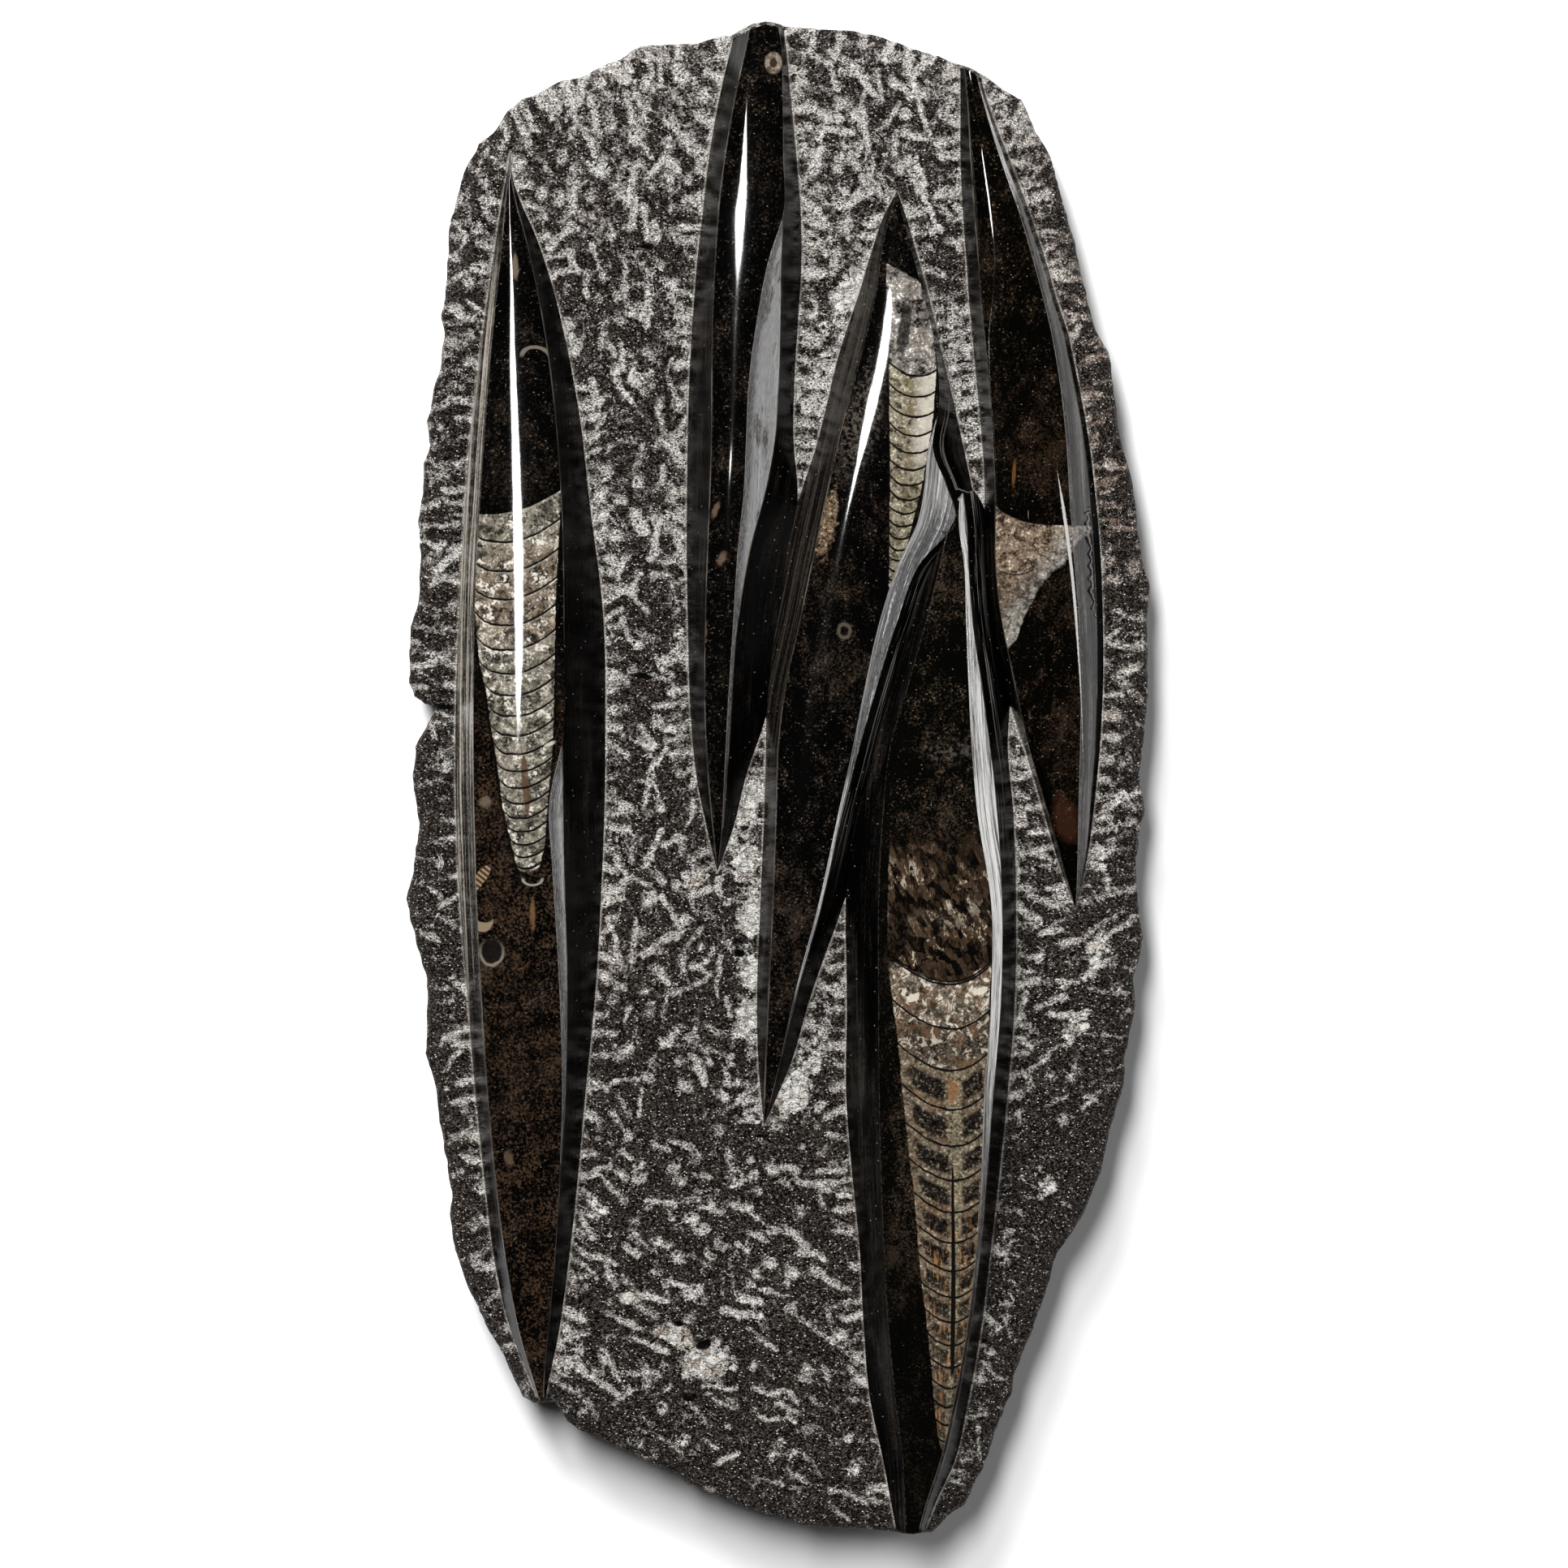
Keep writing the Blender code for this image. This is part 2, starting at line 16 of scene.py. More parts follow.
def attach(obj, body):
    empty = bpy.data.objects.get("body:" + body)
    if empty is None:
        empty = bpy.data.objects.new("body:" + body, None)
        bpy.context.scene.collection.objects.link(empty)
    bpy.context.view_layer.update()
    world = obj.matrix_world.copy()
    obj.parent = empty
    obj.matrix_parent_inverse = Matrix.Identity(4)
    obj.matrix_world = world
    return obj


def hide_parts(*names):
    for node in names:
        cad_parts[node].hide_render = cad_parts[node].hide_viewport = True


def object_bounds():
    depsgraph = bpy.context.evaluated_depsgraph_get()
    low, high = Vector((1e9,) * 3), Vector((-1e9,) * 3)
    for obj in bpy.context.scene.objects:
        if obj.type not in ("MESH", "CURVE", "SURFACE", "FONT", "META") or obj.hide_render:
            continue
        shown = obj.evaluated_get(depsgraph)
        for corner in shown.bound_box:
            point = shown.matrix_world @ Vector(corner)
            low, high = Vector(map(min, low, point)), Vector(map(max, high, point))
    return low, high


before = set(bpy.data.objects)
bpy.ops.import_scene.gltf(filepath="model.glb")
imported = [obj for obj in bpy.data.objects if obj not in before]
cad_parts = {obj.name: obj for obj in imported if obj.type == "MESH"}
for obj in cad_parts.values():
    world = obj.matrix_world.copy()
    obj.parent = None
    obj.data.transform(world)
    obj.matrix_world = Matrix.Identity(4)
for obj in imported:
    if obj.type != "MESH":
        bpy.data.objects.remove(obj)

MM = 0.001
LENGTH = 500  # of the plate, along y

# The chiselled ground's height above the sawn back, and how much thicker the slab is at its -Y end
# than at its +Y end.
GROUND_LEVEL = 31.0
GROUND_RISE = 8.0

# The broken edge of the slab seen from above, anticlockwise from the top ridge's end.
OUTLINE = [
    (-4, 250), (-9, 249), (-14, 246.5), (-22, 245), (-27, 243.6), (-36, 243.1), (-45.5, 242.3),
    (-50, 240), (-55, 237), (-64.5, 233), (-72, 231.2), (-80, 226.8), (-85, 225), (-90, 221),
    (-95, 213.5), (-99.7, 210.2), (-103, 204), (-105.2, 199.5), (-106, 194.5), (-108.7, 184.5),
    (-110, 170), (-110.7, 158.5), (-111.7, 153), (-110.8, 146), (-112.3, 135), (-115, 125.5),
    (-116.3, 118), (-115.6, 110), (-117.4, 104), (-118, 93), (-119.3, 84.5), (-118.8, 75.5),
    (-119.6, 59.5), (-122, 50.5), (-122.6, 42), (-122, 36), (-122.4, 31.5), (-120.6, 26.5),
    (-117, 24), (-113.8, 23.2), (-115.4, 19.5), (-118, 14), (-120.5, 10.5), (-121.2, 0),
    (-120.4, -8), (-119.2, -15), (-120.8, -27), (-121.6, -33), (-123.4, -40), (-121.8, -46),
    (-120, -55), (-116.9, -65), (-116.3, -80), (-116.8, -91), (-113.6, -102), (-112, -115),
    (-109.4, -131), (-108.3, -138), (-109, -144), (-107.3, -156), (-103.4, -167), (-99.5, -175),
    (-96, -183), (-91.5, -190.5), (-87.5, -199), (-84.5, -204.7), (-81, -207), (-74, -206.4),
    (-70, -212.5), (-66, -216.2), (-58, -219.4), (-48, -224), (-38, -228.4), (-33, -230.8),
    (-30, -234), (-21, -237), (-11, -242), (0, -244.6), (8, -247), (28, -248), (37, -249.2),
    (44, -250), (51, -249), (55, -245.2), (62, -240), (65, -234), (68, -229), (72.5, -216),
    (77.5, -204), (79.5, -195), (81.5, -189), (84.4, -183), (88, -173), (92, -160), (98, -149),
    (102, -144), (107, -130), (110.5, -115), (113.8, -104.5), (115.5, -92), (118.4, -77),
    (118.5, -66), (121, -53), (119.8, -41), (119, -32), (119.4, -20), (121.8, -11),
    (120.3, -2), (121.5, 13), (123.4, 27), (122.6, 35), (122.5, 48), (123.4, 63), (121.6, 71),
    (119.5, 85), (117.3, 98), (114.4, 111), (112, 123), (110.9, 134), (109.6, 141), (105, 150),
    (102.6, 160.5), (99.5, 172.5), (94.9, 190), (91.5, 203.5), (89.8, 207.3), (86, 213.5),
    (83, 220), (80.7, 224.7), (74, 228.3), (69.6, 232.4), (60, 236.6), (50.5, 240), (44.7, 241.5),
    (40, 244), (32.5, 246), (25, 247.3), (10, 248.2), (1, 249),
]  # fmt: skip

# Each ridge from its +Y end to its -Y end. A row is a section across it: y, then x of its left
# border, left shoulder, crest, facet's start, facet's end and right border, then the heights of
# the crest and of the left shoulder above the ground. Where two ridges meet, their borders lie
# inside each other, and the valley between them is where their flanks cross.
RIDGES = {
    "left": [
        (207, -88.3, -88.3, -88.3, -88.3, -88.3, -88.3, 0, 0),
        (198, -89.6, -89.0, -88.6, -88.1, -88.0, -87.5, 1.2, 0.9),
        (190, -91.0, -89.7, -88.4, -86.6, -86.5, -84.9, 3, 2.4),
        (180, -92.6, -90.5, -88.0, -83.8, -83.7, -80.4, 5.4, 4.4),
        (165, -94.8, -92.0, -87.2, -80.3, -80.2, -75.2, 8.4, 6.8),
        (145, -97.6, -94.0, -86.4, -76.6, -76.5, -70.2, 11.8, 9.6),
        (120, -100.7, -96.0, -85.2, -73.4, -73.3, -65.5, 15.2, 12.2),
        (90, -103.2, -98.0, -83.6, -71.2, -71.1, -62.0, 18.2, 14.4),
        (55, -105.1, -99.6, -82.6, -70.4, -70.3, -57.7, 20.6, 16.2),
        (12, -106.4, -100.0, -82.8, -70.9, -70.8, -56.9, 21.9, 17.4),
        (-8, -106.2, -99.8, -83.0, -75.0, -70.6, -57.1, 21.9, 17.4),
        (-30, -105.4, -99.2, -83.0, -74.0, -70.2, -57.9, 21.5, 17),
        (-70, -102.5, -97.4, -82.6, -71.7, -69.2, -60.1, 19.4, 15.3),
        (-105, -99.6, -95.2, -82.0, -70.9, -69.9, -63.5, 16.2, 12.9),
        (-135, -96.4, -92.4, -81.6, -72.0, -71.8, -66.2, 12.7, 10.1),
        (-160, -93.2, -89.2, -80.6, -73.6, -73.5, -69.0, 9.3, 7.4),
        (-185, -87.0, -84.4, -79.4, -76.0, -75.9, -72.6, 5.4, 4.2),
        (-200, -80.9, -80.0, -78.5, -77.3, -77.2, -75.8, 2.5, 1.9),
        (-209, -77.5, -77.5, -77.5, -77.5, -77.5, -77.5, 0, 0),
    ],
    "upper": [
        (254, -12.0, -8.0, -6.4, -0.8, -0.7, 0.9, 3.4, 2.9),
        (240, -15.7, -10.6, -8.2, 1.1, 1.2, 2.8, 7.0, 6.0),
        (225, -19.2, -13.8, -9.6, 1.5, 1.6, 4.2, 11.2, 9.6),
        (205, -22.7, -17.2, -9.8, 1.7, 1.8, 6.1, 15.4, 13.4),
        (185, -25.0, -19.5, -8.8, 1.6, 1.7, 7.6, 16.9, 15.4),
        (172, -26.5, -20.4, -9.2, -2.6, 1.1, 7.8, 17.0, 15.4),
        (150, -28.2, -21.4, -12.0, -7.0, 0.8, 6.6, 16.5, 14.4),
        (130, -29.3, -21.6, -13.2, -9.6, 0.2, 5.4, 16.0, 13.6),
        (110, -29.8, -21.8, -14.2, -10.5, -1.2, 5.2, 15.5, 13.1),
        (95, -30.0, -22.2, -15.0, -11.2, -4.0, 6.5, 15.4, 13.1),
        (75, -30.1, -23.0, -16.0, -13.2, -9.3, 5.2, 14.7, 12.5),
        (50, -29.7, -23.8, -17.0, -14.8, -13.4, 2.2, 13.2, 11.2),
        (18, -28.6, -23.8, -18.4, -16.8, -15.8, -4.6, 11.0, 9.3),
        (0, -26.8, -22.8, -18.9, -17.7, -17.0, -10.7, 8.2, 6.9),
        (-15, -23.8, -21.4, -19.3, -18.4, -18.0, -14.3, 5.0, 4.2),
        (-31, -20.0, -20.0, -20.0, -20.0, -20.0, -20.0, 0, 0),
    ],
    "leaning": [
        (193.5, 39.3, 39.3, 39.3, 39.3, 39.3, 39.3, 0, 0),
        (186, 35.2, 37.0, 39.2, 40.9, 41.0, 42.0, 2.2, 1.9),
        (175, 31.3, 34.4, 39.0, 43.7, 43.8, 45.3, 5.5, 4.8),
        (160, 26.8, 32.2, 38.9, 47.6, 47.7, 49.5, 9.7, 8.7),
        (140, 20.2, 27.6, 37.3, 52.0, 52.1, 54.2, 13.6, 11.9),
        (122, 15.8, 22.8, 33.4, 52.8, 53.0, 58.4, 16.0, 14.0),
        (108, 12.2, 19.4, 29.8, 49.4, 51.0, 61.4, 16.9, 14.5),
        (96, 8.2, 16.8, 26.6, 48.2, 55.4, 63.9, 16.9, 14.2),
        (85, 4.6, 14.4, 24.0, 46.2, 58.2, 65.6, 16.7, 13.9),
        (70, 0.8, 11.2, 21.2, 39.4, 46.4, 57.2, 16.3, 13.5),
        (52, -2.0, 7.4, 18.4, 33.6, 39.4, 50.0, 15.6, 12.9),
        (29, -3.7, 2.4, 14.8, 28.4, 32.2, 42.0, 14.7, 12.1),
        (10, -4.0, 0.2, 12.2, 24.6, 26.8, 36.5, 13.9, 11.4),
        (-10, -4.5, -0.4, 9.4, 20.2, 21.6, 31.5, 12.8, 10.5),
        (-42, -5.8, -1.6, 5.2, 13.2, 14.2, 21.4, 10.8, 8.9),
        (-72, -6.9, -2.9, 1.8, 5.3, 5.9, 10.8, 8.7, 7.1),
        (-95, -6.4, -3.9, -1.6, 0.2, 0.5, 3.9, 4.8, 4.0),
        (-114.5, -4.6, -4.6, -4.6, -4.6, -4.6, -4.6, 0, 0),
    ],
    "lower": [
        (100, 60.0, 60.0, 60.0, 60.0, 60.0, 60.0, 0, 0),
        (92, 56.5, 58.2, 59.4, 59.8, 61.0, 66.6, 6.5, 5.5),
        (84, 52.0, 56.6, 59.2, 59.5, 61.9, 69.4, 10.5, 8.8),
        (70, 45.0, 53.2, 60.9, 61.2, 62.6, 71.8, 13.6, 9.8),
        (52, 41.6, 48.8, 61.4, 61.8, 63.8, 74.6, 16.1, 11.0),
        (30, 34.0, 42.5, 62.0, 62.6, 66.9, 76.6, 18.0, 11.2),
        (10, 27.0, 36.8, 63.0, 63.6, 69.6, 75.8, 19.5, 11.4),
        (-10, 23.2, 34.6, 64.6, 65.3, 71.8, 77.5, 20.7, 11.8),
        (-42, 22.3, 33.0, 69.2, 70.0, 73.5, 78.5, 21.6, 13.6),
        (-75, 22.7, 33.0, 69.0, 69.8, 73.0, 78.0, 21.5, 13.6),
        (-105, 22.5, 33.2, 66.9, 67.6, 70.5, 75.6, 20.4, 13.0),
        (-130, 24.4, 33.8, 66.1, 66.7, 68.6, 73.1, 18.7, 12.0),
        (-155, 26.9, 34.8, 64.5, 65.1, 66.4, 70.2, 16.6, 10.8),
        (-180, 28.2, 36.2, 61.6, 62.2, 63.3, 67.2, 14.0, 9.2),
        (-205, 30.4, 38.6, 57.2, 57.8, 58.8, 62.8, 10.5, 7.2),
        (-225, 34.7, 41.0, 52.6, 53.2, 54.2, 58.2, 7.0, 5.2),
        (-240, 37.5, 41.8, 47.8, 48.3, 49.1, 51.4, 4.5, 3.6),
        (-254, 40.2, 42.2, 44.3, 44.7, 45.2, 46.2, 2.2, 1.8),
    ],
    "right": [
        (242, 60.4, 61.2, 62.2, 63.3, 63.4, 64.2, 0.6, 0.5),
        (232, 60.2, 61.8, 63.6, 65.4, 65.6, 66.6, 2.6, 2.0),
        (220, 60.2, 62.8, 65.7, 68.4, 69.0, 70.2, 6.0, 4.3),
        (205, 60.2, 63.6, 67.6, 72.8, 74.2, 76.0, 10.4, 7.5),
        (185, 61.1, 65.0, 70.4, 79.6, 81.6, 83.6, 13.4, 9.6),
        (170, 62.2, 66.1, 71.8, 84.0, 86.6, 88.5, 13.4, 9.9),
        (158, 63.0, 66.9, 71.2, 87.2, 90.1, 91.9, 12.9, 10.9),
        (147, 64.0, 67.9, 69.8, 89.8, 93.6, 95.5, 12.6, 11.9),
        (135, 65.1, 69.0, 69.7, 92.0, 96.2, 98.1, 12.5, 12.3),
        (110, 67.4, 70.8, 71.4, 94.9, 100.8, 102.7, 12.4, 12.2),
        (93, 68.2, 71.6, 72.2, 95.9, 102.6, 104.7, 12.2, 12.0),
        (75, 67.6, 71.6, 72.4, 97.2, 103.9, 106.3, 11.8, 11.5),
        (55, 68.8, 73.2, 74.6, 98.8, 104.9, 107.1, 11.2, 10.7),
        (35, 73.2, 77.2, 79.6, 99.6, 105.1, 107.3, 10.2, 9.2),
        (12, 80.6, 82.2, 86.4, 99.5, 104.4, 106.3, 8.4, 6.5),
        (-8, 86.6, 87.8, 91.4, 99.0, 103.0, 104.4, 7.3, 4.6),
        (-25, 91.6, 92.6, 95.0, 98.7, 101.4, 102.2, 4.6, 2.6),
        (-38, 96.1, 96.4, 97.2, 98.3, 99.0, 99.3, 2.0, 1.0),
        (-43, 98.0, 98.0, 98.0, 98.0, 98.0, 98.0, 0, 0),
    ],
}
NEIGHBOURS = [("upper", "leaning"), ("leaning", "lower"), ("lower", "right"), ("leaning", "right")]

# The table's columns after y.
LEFT, SHOULDER, CREST, START, END, RIGHT, HIGH, SHOULDER_HIGH = range(1, 9)

# A section's crown falls towards its facet, which leans to +x. A roofed shell is highest where its
# facet starts, and this share of its left side's fall is straight. A bevel is a flatter strip of
# this width along the facet's start.
CROWN_FALL = 0.12
FACET_SLOPE = {"left": 0.40, "upper": 0.40, "leaning": 0.40, "lower": 0.40, "right": 1.10}
ROOF = {"lower": 0.92}
NARROWEST_FACET = 0.35
BEVEL = {"right": 0.9}
BEVEL_SLOPE = 0.42

# How far the rim stands in from the outline, and how far the ground drops, over what reach, at it.
TOP_INSET = 1.5
EDGE_FALL = 4.0
EDGE_REACH = 10.0

# The broken side: each ring's height as a share of the rim's, and how far it stands in. The
# material of the ground runs down over the first few.
SIDE_PROFILE = [
    (0.975, 0.9), (0.935, 0.45), (0.885, 0.15), (0.825, 0.0), (0.75, 0.05), (0.67, 0.2),
    (0.58, 0.4), (0.49, 0.7), (0.39, 1.1), (0.29, 1.6), (0.20, 2.2), (0.12, 2.8), (0.05, 3.5),
    (0.0, 4.4),
]  # fmt: skip
TOP_RINGS = 4

# How far apart the mesh's points are, round the rim, along the shells' edges, and over the ground
# and the shells.
OUTLINE_STEP = 1.35
LINE_STEP = 1.25
GROUND_STEP = 0.93
CROWN_STEP = 2.3
MERGE_DISTANCE = 1e-4
SEED = 5

# Places of the stone's materials; the shells' crowns follow from CROWN on, in the tables' order.
GROUND, SIDE, BACK, FLANK, FACET, CROWN = range(6)

# Pale calcite in the ground, and holes, which are cut and painted near black as shade: x, y, half
# length, half width, turn in degrees and share.
PALE_PATCHES = [
    (-8, 12, 7, 2.8, 80, 1.1), (-10, -8, 9, 3.6, 75, 1.15), (-10.5, -27, 7, 4.4, 60, 1.15),
    (-9, -45, 10, 3.8, 88, 1.1), (-9.5, -64, 7, 3.6, 85, 1.15), (-10, -78, 6, 3.2, 95, 1.1),
    (5, -104, 8, 4.0, 62, 1.4), (10, -96, 5, 3.0, 30, 1.1), (-24, -193, 10, 5.0, 20, 1.05),
    (-33, -184, 8, 4.2, -25, 1.0), (-50, -171, 5, 2.4, 10, 1.4), (24, 161, 9, 4.2, 66, 1.7),
    (105, -25, 6, 4.0, 0, 0.8), (105, -55, 5, 5.0, 0, 0.85), (104, -62, 6, 3.0, 60, 0.9),
    (89, -134, 5, 3.0, 60, 0.75), (75, -155, 7, 5.0, 70, 0.65), (98, -82, 7, 3.0, 40, 0.85),
    (-43, 11, 5, 3.0, 0, 0.8), (-46, 132, 4, 3.5, 0, 0.9), (-28, -33, 6, 3.0, 20, 0.9),
]  # fmt: skip
HOLES = [
    (-43, 175.7, 2.2, 1.0, 10, 1.2), (-45, 33.5, 4.4, 0.9, -8, 1.2),
    (-12.5, -57.5, 1.8, 1.2, 0, 1.1),
    (-24, -187, 2.6, 1.6, 20, 1.1), (-33, -180, 1.8, 1.2, 0, 1.0), (-11, -40, 1.2, 0.8, 0, 1.0),
    (-55, -22, 1.6, 0.4, 30, 1.0), (-111, 23.5, 5.0, 0.8, 4, 1.3), (-5, -118, 2.2, 0.7, 10, 1.0),
    (12, 178, 1.6, 0.9, 0, 1.0), (-29, -204, 2.4, 1.8, 0, 1.1), (-41, -186, 1.4, 0.6, 60, 1.0),
]  # fmt: skip

# How much paler or darker than usual the ground is round a few places: x, y and the change.
PALENESS = [
    (-50, 205, 0.17), (20, 205, 0.17), (-48, 100, 0.04), (-45, -20, -0.04), (-20, -160, -0.02),
    (95, -65, -0.12), (104, 120, -0.30), (-114, -20, -0.40), (-106, 150, -0.22), (82, -150, -0.78),
    (110, 20, -0.15), (-88, -180, -0.10), (40, -238, -0.25), (12, 130, 0.12),
]  # fmt: skip

# --- Sections -----------------------------------------------------------------------------------


def curve_through(stations, values, at):
    """Smooth values at the places in at, through values at rising stations (cubic Hermite)."""
    slopes = np.gradient(values, stations)
    at = np.clip(at, stations[0], stations[-1])
    i = np.clip(np.searchsorted(stations, at) - 1, 0, len(stations) - 2)
    span = stations[i + 1] - stations[i]
    t = (at - stations[i]) / span
    rest = 1 - t
    return (
        values[i] * rest * rest * (1 + 2 * t)
        + values[i + 1] * t * t * (1 + 2 * rest)
        + span * t * rest * (slopes[i] * rest - slopes[i + 1] * t)
    )


def ridge_line(name, column, y):
    table = np.array(RIDGES[name][::-1], float)
    return curve_through(table[:, 0], table[:, column], y)


def stations(name):
    """Places along a ridge, from its -Y end to its +Y end."""
    low, high = RIDGES[name][-1][0], RIDGES[name][0][0]
    return np.linspace(low, high, round((high - low) / LINE_STEP) + 1)


def ridge_height(name, x, y):
    """Height above the ground of one ridge, 0 outside its borders."""
    left, left_shoulder, crest, start, end, right, high, shoulder_high = (
        ridge_line(name, column, y) for column in range(LEFT, SHOULDER_HIGH + 1)
    )
    tiny = 1e-3
    end = np.where(end - start < NARROWEST_FACET, start, end)
    roof = ROOF.get(name, 0.0)
    if roof:
        crest = start
    t = np.clip((crest - x) / np.maximum(crest - left_shoulder, tiny), 0, 1)
    left_crown = high - (high - shoulder_high) * (roof * t + (1 - roof) * t * t)
    left_flank = shoulder_high * (x - left) / np.maximum(left_shoulder - left, tiny)

    run = np.maximum(start - crest, tiny)
    fall = np.minimum(CROWN_FALL * run, 0.3 * high)
    right_crown = high - fall * np.clip((x - crest) / run, 0, 1) ** 2
    slope = FACET_SLOPE[name]
    bevel = BEVEL.get(name, 0.0)
    facet = high - fall - slope * (x - start) + (slope - BEVEL_SLOPE) * np.clip(x - start, 0, bevel)
    end_high = high - fall - slope * (end - start) + (slope - BEVEL_SLOPE) * bevel
    end_high = np.maximum(end_high, 0.2 * high)
    right_flank = end_high * (right - x) / np.maximum(right - end, tiny)

    section = np.select(
        [x < left_shoulder, x < crest, x < start, x < end],
        [left_flank, left_crown, right_crown, np.maximum(facet, end_high)],
        right_flank,
    )
    rows = RIDGES[name]
    along = (y > rows[-1][0]) & (y < rows[0][0])
    return np.where((x > left) & (x < right) & along, np.maximum(section, 0), 0.0)


def relief(x, y, but=None):
    """Height above the ground of all ridges, or of all but one."""
    return np.max([ridge_height(name, x, y) for name in RIDGES if name != but], axis=0)


def ground_level(y):
    return GROUND_LEVEL - GROUND_RISE * y / LENGTH


def owners(x, y):
    """The place in RIDGES of the highest ridge at each point, and every ridge's height there."""
    heights = np.array([ridge_height(name, x, y) for name in RIDGES])
    return heights.argmax(axis=0), heights


def facet_edges(name, y):
    """x of a ridge's left shoulder and of its facet's start and end."""
    return (ridge_line(name, column, y) for column in (SHOULDER, START, END))


def valley_line(first, second, y):
    """Where two neighbouring ridges cross at each y, and whether they do above the ground."""
    low = ridge_line(first, CREST, y)
    high = ridge_line(second, CREST, y)

    def lead(x):
        return ridge_height(first, x, y) - ridge_height(second, x, y)

    crossing = (lead(low) > 0) & (lead(high) < 0)
    for _ in range(30):
        middle = (low + high) / 2
        on_first = lead(middle) > 0
        low = np.where(on_first, middle, low)
        high = np.where(on_first, high, middle)
    return low, crossing & (ridge_height(first, low, y) > 0.1)


# --- Plane geometry -----------------------------------------------------------------------------


def subdivided(points, step):
    """The closed line through points, its pieces cut into equal lengths of about a step."""
    line = []
    for a, b in zip(points, np.roll(points, -1, 0)):
        count = max(1, round(math.dist(a, b) / step))
        line += [a + (b - a) * k / count for k in range(count)]
    return np.array(line)


def outward(loop, reach=3):
    forward = sum(np.roll(loop, -k, 0) - np.roll(loop, k, 0) for k in range(1, reach + 1))
    normal = np.stack([forward[:, 1], -forward[:, 0]], axis=1)
    return normal / np.linalg.norm(normal, axis=1, keepdims=True)


def inside_of(loop, points):
    found = np.zeros(len(points), bool)
    for (ax, ay), (bx, by) in zip(loop, np.roll(loop, -1, 0)):
        if ay != by:
            crosses = (ay > points[:, 1]) != (by > points[:, 1])
            found ^= crosses & (points[:, 0] < ax + (points[:, 1] - ay) * (bx - ax) / (by - ay))
    return found


def runs(line, keep):
    """The unbroken stretches of a line whose points are kept, of two points or more."""
    found = np.flatnonzero(np.diff(np.concatenate([[0], keep, [0]])))
    return [line[a:b] for a, b in zip(found[::2], found[1::2]) if b - a > 1]


class Nearest:
    """The nearest sample of some lines, which are sampled closely."""

    def __init__(self, lines, step=0.35, closed=False):
        parts = []
        for line in lines:
            ends = np.roll(line, -1, 0) if closed else line[1:]
            for a, b in zip(line if closed else line[:-1], ends):
                count = max(1, math.ceil(math.dist(a, b) / step))
                parts.append(a + (b - a) * np.arange(count)[:, None] / count)
        self.samples = np.vstack(parts)
        self.tree = KDTree(len(self.samples))
        for k, (x, y) in enumerate(self.samples):
            self.tree.insert((x, y, 0), k)
        self.tree.balance()

    def __call__(self, points):
        """Distance to the nearest sample, and its place."""
        found = [self.tree.find((x, y, 0)) for x, y in points]
        return np.array([f[2] for f in found]), self.samples[[f[1] for f in found]]


def lattice_noise(points, cell, seed):
    """Smooth random values from -1 to 1 over places in 2 or 3 dimensions, cell apart."""
    scaled = np.asarray(points, float) / cell + 1000.5
    base = np.floor(scaled).astype(np.int64)
    t = scaled - base
    t = t * t * (3 - 2 * t)
    total = 0.0
    axes = scaled.shape[1]
    for corner in range(2**axes):
        offset = np.array([(corner >> k) & 1 for k in range(axes)])
        weight = np.prod(np.where(offset, t, 1 - t), axis=1)
        key = (base + offset) @ np.array([73856093, 19349663, 83492791][:axes]) + seed * 7919
        key = (key ^ (key >> 13)) * 1274126177 & 0x7FFFFFFF
        key = (key ^ (key >> 16)) * 668265263 & 0x7FFFFFFF
        total = total + weight * ((key >> 8 & 0xFFFF) / 32767.5 - 1)
    return total


def fractal(points, cell, seed, octaves=4, gain=0.5):
    total = np.zeros(len(points))
    size = 1.0
    for k in range(octaves):
        total += size * lattice_noise(points, cell / 2**k, seed + k)
        size *= gain
    return total


# --- Chisel marks -------------------------------------------------------------------------------


def border_ticks(rng):
    """Chisel strokes that end at the shells' borders and stand square to them."""
    marks = []
    for name, rows in RIDGES.items():
        for column, side in ((LEFT, -1), (RIGHT, 1)):
            y = rows[-1][0] + 3.0
            while y < rows[0][0] - 2.0:
                x = float(ridge_line(name, column, np.array([y]))[0])
                step = float(ridge_line(name, column, np.array([y + 1.0]))[0]) - x
                length = rng.uniform(2.5, 8.0)
                angle = math.atan2(-step * side, side) + rng.normal(0, 0.28)
                reach = 0.6 + length / 2
                centre = (x + math.cos(angle) * reach, y + math.sin(angle) * reach)
                white = rng.uniform(0.35, 1.0) if rng.random() < 0.8 else 0.15
                marks.append((*centre, angle, length, rng.uniform(1.0, 1.7), 0.9, white))
                y += rng.uniform(4.2, 7.6)
    return marks


def edge_ticks(rng, loop, away):
    """Marks of the blows that trimmed the slab's edge."""
    marks = []
    k = 0
    while k < len(loop):
        angle = math.atan2(-away[k][1], -away[k][0]) + rng.normal(0, 0.35)
        length = rng.uniform(2.0, 9.0)
        reach = rng.uniform(0, 2.0) + length / 2
        centre = (loop[k][0] + math.cos(angle) * reach, loop[k][1] + math.sin(angle) * reach)
        marks.append((*centre, angle, length, rng.uniform(1.0, 1.9), 0.9, rng.uniform(0.1, 0.95)))
        k += int(rng.integers(3, 7))
    return marks


def stroke_angle(x, y, rng):
    """The main direction of the strokes changes over the ground."""
    if y > 120 and x < 0:
        return math.radians(105) + rng.normal(0, 0.45)
    if y < -120:
        return math.radians(150) + rng.normal(0, 0.5)
    if x > 80:
        return rng.normal(0.25, 0.35)
    if x < -100:
        return rng.normal(-0.15, 0.4)
    return math.radians(100) + rng.normal(0, 0.75)


